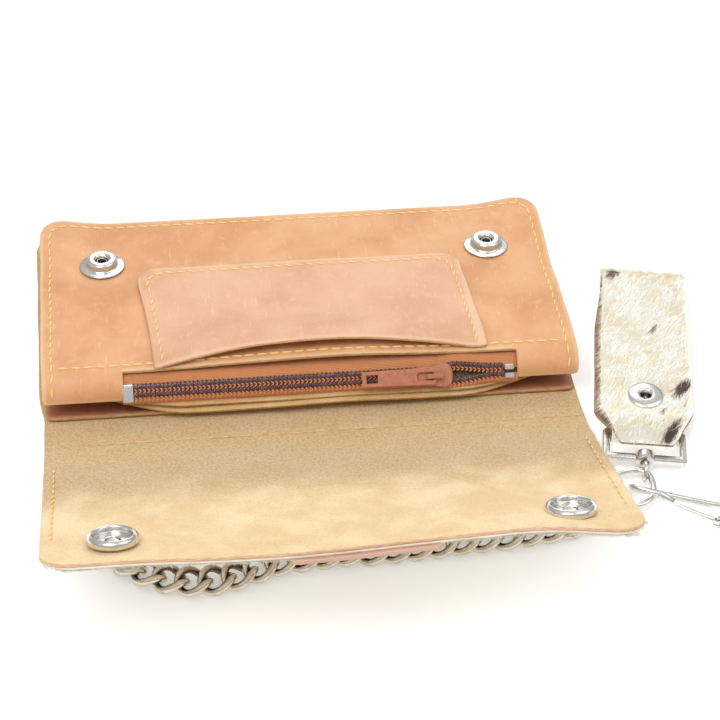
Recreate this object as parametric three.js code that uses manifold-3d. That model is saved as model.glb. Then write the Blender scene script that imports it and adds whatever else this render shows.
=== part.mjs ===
// Long biker wallet with a snap flap, a coin zip, a curb chain and a hair-hide belt fob.
// Millimetres, +Z up. The wallet lies on its back hide with the flap thrown open towards -Y.
// Origin: centre of the back hide's underside.
import * as THREE from 'three';
import { mergeVertices } from 'three/addons/utils/BufferGeometryUtils.js';
import Module from 'manifold-3d';

const wasm = await Module();
wasm.setup();

// ---- driving dimensions ----------------------------------------------------------------
const gap = 0.35;                 // air kept between neighbouring solids
const halfWidth = 95;             // wallet, left and right of the centre
const seamY = 50;                 // sewn back edge
const cornerRadius = 11;

const hideThickness = 2.2;        // hair hide: back, spine and flap
const fold = { y: -52.5, z: 3.1, gap: 1.4 };
const spine = { length: 23, rest: 15 };                     // rest: degrees above the floor
const flap = { length: 89.5, rest: 27.5, gap: 1.5, socketAt: 75.5, cornerRadius: 9 };
const snapX = 72.1;

const panel = { thickness: 1.6, lipY: -47.4, lipZ: 11.3 };
const notch = { left: -66.6, right: 72.8, backY: -41 };     // cut-out for the zip
const pocket = { left: -57, right: 61.5, backY: 17, mouthY: -38.5, thickness: 1.4, cornerRadius: 8 };

const zip = { y: -46, z: 13.6, tilt: 48 };                // middle of the zip and its lean
const coil = { offset: 1.5, radius: 0.8, left: -60.1, right: 66 };
const tape = { inner: 2.6, thickness: 0.6 };
const slider = { x: 43, halfLength: 6.5, noseHalf: 4.4, tailHalf: 3.4, floor: 1.1, top: 2.2 };
const bridge = { legOut: 3.2, legIn: 2.2, halfWidth: 0.8, underside: 4.0, top: 4.8 };
const pull = { length: 26, nearHalf: 3.1, farHalf: 2.7, low: 2.55, high: 3.65, barRadius: 0.55 };

const stud = { y: 21.7, tilt: 7.5, flange: 8.25, head: 5.5, height: 3.7, hole: 2.2 };
const socket = { outer: 8.25, inner: 6.25, height: 2.9, hole: 2.4 };

const fob = { x: 112.9, y: -82.8, turn: -10.7, axisZ: 4.1 };        // hub of the belt fob
const strap = { thickness: 2, left: -15.8, right: 17, foldV: 88, snapV: 24.5, topBarV: 11 };
const frame = { half: 14.8, side: 2.6, bottomV: -2.3, bar: 2.4, thickness: 2.4 };
const boss = { radius: 3.5, back: 0.8, front: -3 };
const ring = { x: 105, y: -96.9, radius: 8, wire: 2.2, z: 3.9, apexAngle: 47.8, nose: 1.8 };
const chain = { width: 11, height: 5, z: 2.9 };
const clip = { x: 105.8, y: -96.2, turn: -24.5, wire: 1 };

// ---- shapes and solids -----------------------------------------------------------------
const degrees = THREE.MathUtils.degToRad;
const flat = (x, y) => new THREE.Vector2(x, y);
const point = (x, y, z) => new THREE.Vector3(x, y, z);

function toManifold(geometry) {
  const bare = geometry.index ? geometry.toNonIndexed() : geometry.clone();
  bare.deleteAttribute('normal');
  bare.deleteAttribute('uv');
  const merged = mergeVertices(bare, 1e-4);
  const vertProperties = new Float32Array(merged.attributes.position.array);
  const triVerts = new Uint32Array(merged.index.array);
  return new wasm.Manifold(new wasm.Mesh({ numProp: 3, vertProperties, triVerts }));
}

function toGeometry(manifold) {
  const mesh = manifold.getMesh();
  const geometry = new THREE.BufferGeometry();
  const corners = new Float32Array(mesh.vertProperties);
  geometry.setAttribute('position', new THREE.BufferAttribute(corners, 3));
  geometry.setIndex(new THREE.BufferAttribute(new Uint32Array(mesh.triVerts), 1));
  geometry.computeVertexNormals();
  return geometry;
}

function cut(geometry, ...tools) {
  let solid = toManifold(geometry);
  for (const tool of tools) solid = solid.subtract(toManifold(tool));
  return toGeometry(solid);
}

function join(geometry, ...others) {
  let solid = toManifold(geometry);
  for (const other of others) solid = solid.add(toManifold(other));
  return toGeometry(solid);
}

function trim(geometry, limit) {
  return toGeometry(toManifold(geometry).intersect(toManifold(limit)));
}

function box(x0, x1, y0, y1, z0, z1) {
  const geometry = new THREE.BoxGeometry(x1 - x0, y1 - y0, z1 - z0);
  return geometry.translate((x0 + x1) / 2, (y0 + y1) / 2, (z0 + z1) / 2);
}

// A rounded rectangle. Radii run: low-Y left, low-Y right, high-Y right, high-Y left.
function roundedRectangle(x0, x1, y0, y1, radii) {
  const [a, b, c, d] = radii;
  const shape = new THREE.Shape();
  shape.moveTo(x0 + a, y0);
  shape.lineTo(x1 - b, y0);
  if (b > 0) shape.absarc(x1 - b, y0 + b, b, -Math.PI / 2, 0, false);
  shape.lineTo(x1, y1 - c);
  if (c > 0) shape.absarc(x1 - c, y1 - c, c, 0, Math.PI / 2, false);
  shape.lineTo(x0 + d, y1);
  if (d > 0) shape.absarc(x0 + d, y1 - d, d, Math.PI / 2, Math.PI, false);
  shape.lineTo(x0, y0 + a);
  if (a > 0) shape.absarc(x0 + a, y0 + a, a, Math.PI, Math.PI * 1.5, false);
  return shape;
}

function roundHole(shape, x, y, radius) {
  const hole = new THREE.Path();
  hole.absarc(x, y, radius, 0, Math.PI * 2, true);
  shape.holes.push(hole);
}

function plate(shape, low, high, bevel = 0) {
  const geometry = new THREE.ExtrudeGeometry(shape, {
    depth: high - low - 2 * bevel, curveSegments: 6, bevelEnabled: bevel > 0,
    bevelThickness: bevel, bevelSize: bevel, bevelOffset: -bevel, bevelSegments: 1,
  });
  return geometry.translate(0, 0, low + bevel);
}

// An outline drawn in (y, z) and drawn out along X.
function acrossX(outline, x0, x1) {
  const shape = new THREE.Shape(outline);
  const geometry = new THREE.ExtrudeGeometry(shape, { depth: x1 - x0, bevelEnabled: false });
  const basis = new THREE.Matrix4().makeBasis(point(0, 1, 0), point(0, 0, 1), point(1, 0, 0));
  return geometry.applyMatrix4(basis).translate(x0, 0, 0);
}

// Both faces of a sheet whose middle line is given; the line runs from high Y to low Y.
function sheetOutline(middle, thickness) {
  const upper = [];
  const lower = [];
  middle.forEach((here, i) => {
    const before = middle[Math.max(i - 1, 0)];
    const after = middle[Math.min(i + 1, middle.length - 1)];
    const along = after.clone().sub(before).normalize();
    const normal = flat(along.y, -along.x).multiplyScalar(thickness / 2);
    upper.push(here.clone().add(normal));
    lower.push(here.clone().sub(normal));
  });
  return [...upper, ...lower.reverse()];
}

function smoothLine(points, pieces) {
  return new THREE.SplineCurve(points.map(([y, z]) => flat(y, z))).getPoints(pieces);
}

function brokenLine(points) {
  return points.map(([y, z]) => flat(y, z));
}

function sheet(middle, thickness, x0, x1) {
  return acrossX(sheetOutline(middle, thickness), x0, x1);
}

// The body's plan: square at the lip, rounded at the sewn edge.
function bodyPlan(inset) {
  const x = halfWidth - inset;
  const r = cornerRadius;
  return plate(roundedRectangle(-x, x, -90, seamY - inset, [0, 0, r, r]), -10, 60);
}

function lathe(profile, segments = 24) {
  const geometry = new THREE.LatheGeometry(profile.map(([r, z]) => flat(r, z)), segments);
  return geometry.rotateX(Math.PI / 2);
}

function wire(points, radius, steps, sides = 8) {
  const section = new THREE.Shape();
  section.absarc(0, 0, radius, 0, Math.PI * 2, false);
  const path = new THREE.CatmullRomCurve3(points, false, 'centripetal');
  return new THREE.ExtrudeGeometry(section, { steps, curveSegments: sides / 2, extrudePath: path });
}

// ---- the assembly ----------------------------------------------------------------------
const chainWallet = new THREE.Group();
chainWallet.name = 'chain_wallet';

const finishes = {
  tanLeather: { color: 0xc98a55, roughness: 0.55, metalness: 0 },
  pinkTanLeather: { color: 0xd09a6c, roughness: 0.6, metalness: 0 },
  redBrownLeather: { color: 0xa5654a, roughness: 0.6, metalness: 0 },
  suede: { color: 0xcfa468, roughness: 0.95, metalness: 0 },
  hairHide: { color: 0xefe6d2, roughness: 0.9, metalness: 0 },
  zipTape: { color: 0xa85f30, roughness: 0.9, metalness: 0 },
  zipCoil: { color: 0x3a2018, roughness: 0.45, metalness: 0 },
  sliderPaint: { color: 0xb4694c, roughness: 0.45, metalness: 0.2 },
  nickel: { color: 0xc9c8c2, roughness: 0.22, metalness: 1 },
};

function add(parent, name, geometry, finish) {
  const mesh = new THREE.Mesh(geometry, new THREE.MeshStandardMaterial(finishes[finish]));
  mesh.name = name;
  parent.add(mesh);
  return mesh;
}

function frameAt(parent, x, y, z, turnX = 0, turnZ = 0) {
  const group = new THREE.Group();
  group.position.set(x, y, z);
  group.rotation.set(degrees(turnX), 0, degrees(turnZ), 'ZXY');
  parent.add(group);
  return group;
}

// ---- body: back hide, dividers, zip pocket and front panel -----------------------------
const backHideMiddle = brokenLine([[seamY, 1.1], [-40, 1.1], [-44, 1.35], [fold.y + fold.gap, 2.85]]);
const rearDividerMiddle = brokenLine([[49.5, 3.1], [-40, 3.1], [-44, 3.6], [-48, 4.6]]);
const middleDividerMiddle = smoothLine([
  [49.5, 4.8], [20, 6.5], [-10, 8], [-28, 8.8], [-40, 8.5], [-47.4, 7.7],
], 10);
const pocketBackMiddle = smoothLine([
  [49.5, 6.3], [20, 8], [-10, 9.5], [-28, 10.3], [-40, 10], [-47.2, 9.05],
], 10);

// Middle line of the front panel, from the back seam over the hump and down round the lip.
const panelMiddle = smoothLine([
  [seamY, 8.4], [22, 11.7], [0, 14.8], [-20, 17.5], [-33, 19.05], [-39.5, 19.2],
  [-43.7, 17.8], [-46, 15], [panel.lipY + panel.thickness / 2, panel.lipZ],
], 34);

// A layer of the body: a sheet as wide as the wallet, less an inset, cut to the body's plan.
function bodyLayer(middle, thickness, inset) {
  const half = halfWidth - inset;
  return trim(sheet(middle, thickness, -half, half), bodyPlan(inset));
}
add(chainWallet, 'back_hide', bodyLayer(backHideMiddle, hideThickness, 0), 'hairHide');
add(chainWallet, 'rear_divider', bodyLayer(rearDividerMiddle, 1.2, 0.5), 'redBrownLeather');
add(chainWallet, 'middle_divider', bodyLayer(middleDividerMiddle, 1.2, 1), 'suede');
add(chainWallet, 'zip_pocket_back', bodyLayer(pocketBackMiddle, 0.9, 1.5), 'redBrownLeather');

const panelBlank = bodyLayer(panelMiddle, panel.thickness, 0);
const zipNotch = box(notch.left, notch.right, -60, notch.backY, 0, 40);
const studHoles = [-snapX, snapX].map((x) => {
  const drill = new THREE.CylinderGeometry(stud.hole + 0.25, stud.hole + 0.25, 12, 20);
  return drill.rotateX(Math.PI / 2 - degrees(stud.tilt)).translate(x, stud.y, 12);
});
add(chainWallet, 'front_panel', cut(panelBlank, zipNotch, ...studHoles), 'tanLeather');

// The patch pocket lies on the panel, so its middle line is the panel's, raised.
const pocketRise = panel.thickness / 2 + gap + pocket.thickness / 2;
const pocketMiddle = panelMiddle.map((here) => flat(here.x, here.y + pocketRise));
const pocketPlan = roundedRectangle(pocket.left, pocket.right, pocket.mouthY, pocket.backY,
  [0, 0, pocket.cornerRadius, pocket.cornerRadius]);
const pocketSheet = sheet(pocketMiddle, pocket.thickness, pocket.left - 1, pocket.right + 1);
add(chainWallet, 'patch_pocket', trim(pocketSheet, plate(pocketPlan, 0, 40)), 'pinkTanLeather');

// ---- snap studs on the front panel -----------------------------------------------------
function studGeometry() {
  const { flange, head, height, hole } = stud;
  return lathe([[hole, 0], [flange, 0], [flange, 0.5], [head + 0.3, 0.9], [head, 1.6], [head, height - 0.6],
    [head - 0.8, height], [hole + 1, height], [hole, height - 0.8], [hole, 0]]);
}

function studRivetGeometry() {
  const bore = 1.2;
  const barrel = stud.hole - gap;
  const foot = -panel.thickness - 2 * gap;
  return lathe([[bore, foot - 0.7], [5, foot - 0.7], [5, foot], [barrel, foot], [barrel, 2.6], [bore, 2.6],
    [bore, foot - 0.7]]);
}

const panelTopAtStud = 12.7;
for (const [side, x] of [['left', -snapX], ['right', snapX]]) {
  const seat = frameAt(chainWallet, x, stud.y, panelTopAtStud + gap, -stud.tilt);
  add(seat, `stud_${side}`, studGeometry(), 'nickel');
  add(seat, `stud_rivet_${side}`, studRivetGeometry(), 'nickel');
}

// ---- zip: drawn in its own leaning frame, x along the zip, y up the slope --------------
const zipFrame = frameAt(chainWallet, 0, zip.y, zip.z, zip.tilt);
const tapeLeft = notch.left + gap;
const tapeRight = notch.right - gap;
const upperTape = brokenLine([[9.4, -4.95], [5.9, -0.95], [4.6, -0.25], [tape.inner, 0]]);
const lowerTape = brokenLine([[-tape.inner, 0], [-3.8, -0.1], [-4.5, -0.7]]);
add(zipFrame, 'zip_tape_upper', sheet(upperTape, tape.thickness, tapeLeft, tapeRight), 'zipTape');
add(zipFrame, 'zip_tape_lower', sheet(lowerTape, tape.thickness, tapeLeft, tapeRight), 'zipTape');

for (const [side, sign] of [['upper', 1], ['lower', -1]]) {
  const rod = new THREE.CylinderGeometry(coil.radius, coil.radius, coil.right - coil.left, 10);
  rod.rotateZ(Math.PI / 2).translate((coil.left + coil.right) / 2, sign * coil.offset, 0);
  add(zipFrame, `zip_coil_${side}`, rod, 'zipCoil');
  const near = sign > 0 ? 0.7 : -2.3;
  const stop = roundedRectangle(coil.right + gap, coil.right + 3.4, near, near + 1.6, [0.4, 0.4, 0.4, 0.4]);
  add(zipFrame, `zip_top_stop_${side}`, plate(stop, -1.1, 1.1, 0.2), 'nickel');
}

const bottomStop = roundedRectangle(coil.left - 4, coil.left - gap, -2.3, 2.3, [0.5, 0.5, 0.5, 0.5]);
add(zipFrame, 'zip_bottom_stop', plate(bottomStop, -1.2, 1.2, 0.25), 'nickel');

function sliderPlan() {
  const shape = new THREE.Shape();
  const { halfLength: l, noseHalf: n, tailHalf: t } = slider;
  shape.moveTo(-l + 1, -t);
  shape.quadraticCurveTo(0, -t, 3, -n);
  shape.quadraticCurveTo(l, -n, l, 0);
  shape.quadraticCurveTo(l, n, 3, n);
  shape.quadraticCurveTo(0, t, -l + 1, t);
  shape.quadraticCurveTo(-l, t, -l, 0);
  shape.quadraticCurveTo(-l, -t, -l + 1, -t);
  return shape;
}

function sliderGeometry() {
  const upper = plate(sliderPlan(), slider.floor, slider.top, 0.3);
  const lower = plate(sliderPlan(), -slider.top + 0.2, -slider.floor, 0.2).scale(0.9, 0.66, 1);
  const divider = box(2.5, 5.6, -0.4, 0.4, -slider.floor - 0.3, slider.floor + 0.3);
  const arch = new THREE.Shape();
  const { legOut, legIn, underside, top } = bridge;
  const shoulder = legOut - 0.6;
  const rim = [[-legOut, 2], [-legOut, top - 0.6], [-shoulder, top], [shoulder, top], [legOut, top - 0.6],
    [legOut, 2], [legIn, 2], [legIn, underside], [-legIn, underside], [-legIn, 2]];
  arch.setFromPoints(rim.map(([x, z]) => flat(x, z)));
  const bow = plate(arch, -bridge.halfWidth, bridge.halfWidth).rotateX(Math.PI / 2);
  return join(upper, lower, divider, bow);
}

const sliderFrame = frameAt(zipFrame, slider.x, 0, 0);
add(sliderFrame, 'slider_body', sliderGeometry(), 'sliderPaint');

function pullGeometry() {
  const { length, nearHalf: n, farHalf: f } = pull;
  const shape = new THREE.Shape();
  shape.moveTo(-length, -f);
  shape.lineTo(-1.5, -n);
  shape.quadraticCurveTo(pull.barRadius, -n, pull.barRadius, -1.6);
  shape.lineTo(pull.barRadius, 1.6);
  shape.quadraticCurveTo(pull.barRadius, n, -1.5, n);
  shape.lineTo(-length, f);
  const bridgeHole = roundedRectangle(-6.4, -pull.barRadius, -1.4, 1.4, [1, 0, 0, 1]);
  const endHole = roundedRectangle(-24.4, -20.4, -1.5, 1.5, [0, 0, 0, 0]);
  shape.holes.push(new THREE.Path(bridgeHole.getPoints(4)));
  shape.holes.push(new THREE.Path(endHole.getPoints(1)));
  return plate(shape, pull.low, pull.high, 0.2);
}
add(sliderFrame, 'slider_pull', pullGeometry(), 'sliderPaint');

// ---- chain anchor at the fold: leather tab round the straight side of a D-ring ---------
const tab = { x: -76, half: 9, backY: -53.1, barY: -66.5, barZ: 2.1 };
const tabOutline = brokenLine([[tab.backY, 0.3], [tab.barY - 2, 0.3], [tab.barY - 3, 1.2], [tab.barY - 3, 3],
  [tab.barY - 2, 3.9], [tab.barY + 1, 3.9], [tab.barY + 4, 2.8], [tab.barY + 9, 1.7], [tab.backY, 1.3]]);
const tabTunnel = new THREE.CylinderGeometry(1.55, 1.55, 40, 14).rotateZ(Math.PI / 2);
tabTunnel.translate(tab.x, tab.barY, tab.barZ);
const tabBlank = acrossX(tabOutline, tab.x - tab.half, tab.x + tab.half);
add(chainWallet, 'chain_tab', cut(tabBlank, tabTunnel), 'redBrownLeather');

function dRingGeometry() {
  const bar = 2.2;
  const outline = (inset) => {
    const shape = new THREE.Shape();
    const half = 12 - inset;
    shape.moveTo(-half, bar / 2 - inset);
    shape.lineTo(-half, -4);
    shape.bezierCurveTo(-half, -13 + inset, half, -13 + inset, half, -4);
    shape.lineTo(half, bar / 2 - inset);
    return shape;
  };
  const ringShape = outline(0);
  ringShape.holes.push(new THREE.Path(outline(bar).getPoints(10)));
  return plate(ringShape, -bar / 2, bar / 2, 0.5);
}
const dRingFrame = frameAt(chainWallet, tab.x, tab.barY, tab.barZ);
add(dRingFrame, 'd_ring', dRingGeometry(), 'nickel');

// ---- curb chain: flat envelope of the links, laid loose on the floor --------------------
const chainRoute = [
  [-76, -77.9], [-76.6, -86], [-76.9, -94.5], [-75.4, -103.5], [-71, -111.5], [-64, -118.3], [-55, -122.8],
  [-45, -124.6], [-34, -123.4], [-24, -120], [-14, -117.4], [-2, -116.5], [10, -116.3], [24, -115.9],
  [40, -115], [57, -113.9], [72, -112.4], [84, -110.2], [92, -106.4], [97.3, -102.6],
];
function chainGeometry() {
  const points = chainRoute.map(([x, y]) => point(x, y, chain.z));
  const path = new THREE.CatmullRomCurve3(points, false, 'centripetal');
  const section = new THREE.Shape();
  section.absellipse(0, 0, chain.height / 2, chain.width / 2, 0, Math.PI * 2, false);
  return new THREE.ExtrudeGeometry(section, { steps: 44, curveSegments: 4, extrudePath: path });
}
add(chainWallet, 'wallet_chain', chainGeometry(), 'nickel');

// ---- pear ring: a round ring drawn out to a nose where the swivel eye hangs -------------
function pearOutline(radius) {
  const points = [];
  const count = 32;
  for (let i = 0; i < count; i += 1) {
    const angle = (i / count) * Math.PI * 2;
    const turn = angle - degrees(ring.apexAngle);
    const fromNose = Math.atan2(Math.sin(turn), Math.cos(turn));
    const reach = radius + ring.nose * Math.exp(-((fromNose / 0.5) ** 2));
    points.push(flat(reach * Math.cos(angle), reach * Math.sin(angle)));
  }
  return points;
}
const pearShape = new THREE.Shape(pearOutline(ring.radius + ring.wire / 2));
pearShape.holes.push(new THREE.Path(pearOutline(ring.radius - ring.wire / 2)));
const pearFrame = frameAt(chainWallet, ring.x, ring.y, ring.z);
add(pearFrame, 'pear_ring', plate(pearShape, -ring.wire / 2, ring.wire / 2, 0.5), 'nickel');

// ---- spine and flap ---------------------------------------------------------------------
const spineFrame = frameAt(chainWallet, 0, fold.y, fold.z, -spine.rest);
add(spineFrame, 'spine_hide', box(-halfWidth, halfWidth, -spine.length + flap.gap, -fold.gap,
  -hideThickness / 2, hideThickness / 2), 'hairHide');

const flapHinge = {
  y: fold.y - spine.length * Math.cos(degrees(spine.rest)),
  z: fold.z + spine.length * Math.sin(degrees(spine.rest)),
};
const flapFrame = frameAt(chainWallet, 0, flapHinge.y, flapHinge.z, -flap.rest);
const flapShape = roundedRectangle(-halfWidth, halfWidth, -flap.length, -flap.gap,
  [flap.cornerRadius, flap.cornerRadius, 0, 0]);
for (const x of [-snapX, snapX]) roundHole(flapShape, x, -flap.socketAt, socket.hole);
add(flapFrame, 'flap_hide', plate(flapShape, -hideThickness / 2, hideThickness / 2), 'hairHide');

// Leather facing sewn on the hair side at the middle of the flap's free edge.
const facing = { left: -18, right: 28.5, inner: -64, thickness: 1.2 };
const facingHigh = -hideThickness / 2 - gap;
const facingPlan = roundedRectangle(facing.left, facing.right, -flap.length - 2.5, facing.inner,
  [1.5, 1.5, 3, 3]);
const facingPlate = plate(facingPlan, facingHigh - facing.thickness, facingHigh);
add(flapFrame, 'flap_facing', facingPlate, 'redBrownLeather');

function socketGeometry() {
  const { outer, inner, height, hole } = socket;
  return lathe([[hole, 0], [outer, 0], [outer, height - 0.9], [outer - 0.5, height - 0.2],
    [outer - 1, height], [inner + 0.5, height], [inner, height - 0.5], [inner, 0.8], [hole, 0.8], [hole, 0]]);
}
function capGeometry() {
  const post = socket.hole - gap;
  const postTop = hideThickness + 1.2;
  return lathe([[0, -2], [3.5, -1.8], [6.2, -1], [7.5, 0], [post, 0], [post, postTop], [0, postTop]]);
}
for (const [side, x] of [['left', -snapX], ['right', snapX]]) {
  const inside = frameAt(flapFrame, x, -flap.socketAt, hideThickness / 2 + gap);
  add(inside, `socket_${side}`, socketGeometry(), 'nickel');
  const outside = frameAt(flapFrame, x, -flap.socketAt, -hideThickness / 2 - gap);
  add(outside, `cap_${side}`, capGeometry(), 'nickel');
}

// ---- belt fob: x across the strap, y up the strap from the hub --------------------------
const fobFrame = frameAt(chainWallet, fob.x, fob.y, 0, 0, fob.turn);

function swivelPostGeometry() {
  const stem = 1.2;
  const profile = [[0, -4.3], [stem, -4.3], [stem, 1.15], [2.2, 1.15], [2.2, 1.8], [1.3, 2.4], [0, 2.5]];
  const head = lathe(profile, 16);
  head.rotateX(-Math.PI / 2);
  const eye = new THREE.TorusGeometry(3.2, 0.8, 8, 20).rotateY(Math.PI / 2).translate(0, -7, 0);
  return join(head, eye);
}
const axisFrame = frameAt(fobFrame, 0, 0, fob.axisZ);
add(axisFrame, 'swivel_post', swivelPostGeometry(), 'nickel');

// Cast frame: an oblong ring with a round boss on its lower bar, bored for the post.
function fobFrameGeometry() {
  const { half, side, bottomV, bar, thickness } = frame;
  const topV = strap.topBarV + bar / 2;
  const lowBar = 3;
  const outer = roundedRectangle(-half, half, bottomV, topV, [1.2, 1.2, 2, 2]);
  const inner = roundedRectangle(-half + side, half - side, bottomV + lowBar, topV - bar, [0, 0, 0, 0]);
  outer.holes.push(new THREE.Path(inner.getPoints(4)));
  const ringPlate = plate(outer, -thickness / 2, thickness / 2, 0.5);
  const round = new THREE.CylinderGeometry(boss.radius, boss.radius, boss.back - boss.front, 20);
  round.translate(0, (boss.back + boss.front) / 2, 0);
  const bore = new THREE.CylinderGeometry(1.55, 1.55, 12, 20);
  return cut(join(ringPlate, round), bore);
}
add(axisFrame, 'fob_frame', fobFrameGeometry(), 'nickel');

// An outline drawn in (v, z) of the fob, drawn out across the strap.
function strapSheet(middle, thickness) {
  return sheet(middle, thickness, strap.left, strap.right);
}

function arcLine(centreV, centreZ, radius, from, to, pieces) {
  const points = [];
  for (let i = 0; i <= pieces; i += 1) {
    const angle = degrees(from + ((to - from) * i) / pieces);
    points.push(flat(centreV + radius * Math.cos(angle), centreZ + radius * Math.sin(angle)));
  }
  return points;
}

// Rear leaf: from the snap-side fold, along the floor, round the frame's top bar and back.
const rearTop = arcLine(strap.foldV, 4.95, 3.7, 60, -90, 10);
const barCurl = arcLine(strap.topBarV, fob.axisZ, 2.75, -90, -270, 10);
const rearMiddle = [...rearTop, ...barCurl, flat(14, 6.4), flat(16.5, 5.4)];
const leafPlan = new THREE.Shape();
leafPlan.moveTo(-9.2, 3.4);
leafPlan.quadraticCurveTo(0, 2.6, 9.2, 3.4);
leafPlan.lineTo(11.8, 8);
leafPlan.lineTo(strap.right, 17.5);
leafPlan.lineTo(strap.right, 120);
leafPlan.lineTo(strap.left, 120);
leafPlan.lineTo(strap.left, 17.5);
leafPlan.lineTo(-11.8, 8);
leafPlan.lineTo(-9.2, 3.4);
const frameWindow = frame.half - frame.side - gap;
const curlPlan = new THREE.Shape();
curlPlan.setFromPoints([[-frameWindow, 0], [frameWindow, 0], [frameWindow, 19], [strap.right, 22],
  [strap.right, 120], [strap.left, 120], [strap.left, 22], [-frameWindow, 19]].map(([u, v]) => flat(u, v)));

function snapDrill(radius) {
  return new THREE.CylinderGeometry(radius, radius, 60, 20).rotateX(Math.PI / 2).translate(0, strap.snapV, 0);
}
const rearSheet = trim(strapSheet(rearMiddle, strap.thickness), plate(curlPlan, -5, 30));
add(fobFrame, 'strap_rear_leaf', cut(rearSheet, snapDrill(2)), 'hairHide');

const frontMiddle = smoothLine([[strap.foldV - 1.4, 8.65], [60, 8.5], [40, 8.4], [31, 8.4], [24.5, 8.4],
  [18, 8.6], [13, 9.3], [9, 9.2], [5, 8], [1, 6.3]], 28);
const frontSheet = trim(strapSheet(frontMiddle, strap.thickness), plate(leafPlan, -5, 30));
add(fobFrame, 'strap_front_leaf', cut(frontSheet, snapDrill(2.4)), 'hairHide');

const rearLeafTop = 4.95 - 3.7 + strap.thickness / 2;
const studSeat = frameAt(fobFrame, 0, strap.snapV, rearLeafTop + gap);
add(studSeat, 'fob_stud', lathe([[0, -1.9], [1.6, -1.9], [1.6, 0], [5.8, 0], [5.8, 0.5], [4, 0.9], [3.5, 1.5],
  [3.5, 2.5], [3, 2.9], [0, 2.9]], 24), 'nickel');

const frontUnder = 8.4 - strap.thickness / 2;
const socketSeat = frameAt(fobFrame, 0, strap.snapV, frontUnder - gap);
add(socketSeat, 'fob_socket', lathe([[2.4, 0], [2.4, -0.8], [4, -0.8], [4, -2.9], [4.4, -3.2], [5.6, -3.2],
  [6, -2.9], [6, 0], [2.4, 0]], 24), 'nickel');

const eyeletSeat = frameAt(fobFrame, 0, strap.snapV, frontUnder + strap.thickness + gap + 0.15);
const eyeletFoot = -strap.thickness - 0.9;
add(eyeletSeat, 'fob_eyelet', lathe([[1.5, eyeletFoot], [2, eyeletFoot], [2, 0], [6.3, 0], [6.3, 0.3],
  [5.4, 0.8], [2.6, 0.9], [2.1, 0.6], [1.5, -0.4], [1.5, eyeletFoot]]), 'nickel');

// ---- key clip: spring wire bent to a long loop, with a swinging gate --------------------
const clipFrame = frameAt(chainWallet, clip.x, clip.y, 0, 0, clip.turn);
const clipRoute = [
  [14.4, -2.4, 4.6], [10, -2.6, 6.6], [5, -2.6, 6.9], [1.6, -2.3, 6.7], [-0.2, -1.4, 5.4], [-0.6, 0, 3.8],
  [-0.2, 1.4, 2.3], [2, 2.2, 1.5], [6, 2.6, 1.4], [14, 3, 1.4], [30, 4.2, 1.4], [40, 7, 1.4],
  [48, 8, 1.4], [54.5, 5, 1.4], [57, 0, 1.4], [54.5, -5, 1.4], [48, -8, 1.4], [40, -7.6, 1.4], [33, -5, 1.4],
].map(([p, q, z]) => point(p, q, z));
const hinge = { p: 31, q: -4, radius: 1.6 };

function clipBodyGeometry() {
  const loop = wire(clipRoute, clip.wire, 62);
  const sleeve = wire([point(14.8, -2.4, 4.4), point(12.4, -2.5, 5.5), point(9.6, -2.6, 6.75)], 1.4, 4, 10);
  const lug = new THREE.CylinderGeometry(hinge.radius, hinge.radius, 1.1, 16).rotateX(Math.PI / 2);
  lug.translate(hinge.p, hinge.q, 0.95);
  const lugArm = wire([point(33.4, -5.15, 1.2), point(hinge.p + 0.5, hinge.q - 0.2, 1)], 0.6, 3);
  const pin = new THREE.CylinderGeometry(0.7, 0.7, 3.1, 14).rotateX(Math.PI / 2);
  pin.translate(hinge.p, hinge.q, 2.4);
  return join(loop, sleeve, lug, lugArm, pin);
}
add(clipFrame, 'clip_body', clipBodyGeometry(), 'nickel');

function clipGateGeometry() {
  const eyeDisc = new THREE.CylinderGeometry(hinge.radius, hinge.radius, 1.5, 16).rotateX(Math.PI / 2);
  eyeDisc.translate(hinge.p, hinge.q, 2.6);
  const bore = new THREE.CylinderGeometry(1.05, 1.05, 6, 14).rotateX(Math.PI / 2);
  bore.translate(hinge.p, hinge.q, 2.6);
  const root = point(hinge.p - 1.2, hinge.q + 0.1, 2.6);
  const rod = wire([root, point(24, -3.4, 2.8), point(16, -2.6, 3.8)], 0.75, 4);
  return cut(join(eyeDisc, rod), bore);
}
add(clipFrame, 'clip_gate', clipGateGeometry(), 'nickel');

export default chainWallet;
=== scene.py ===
# A long biker's wallet lying open: snap flap, coin zip, curb chain, hair-hide belt fob.
import random
from bisect import bisect_right
from math import atan2, ceil, cos, exp, pi, radians, sin, sqrt

import bmesh
import bpy
import numpy as np
from mathutils import Matrix, Vector, noise
from mathutils.geometry import interpolate_bezier


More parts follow.
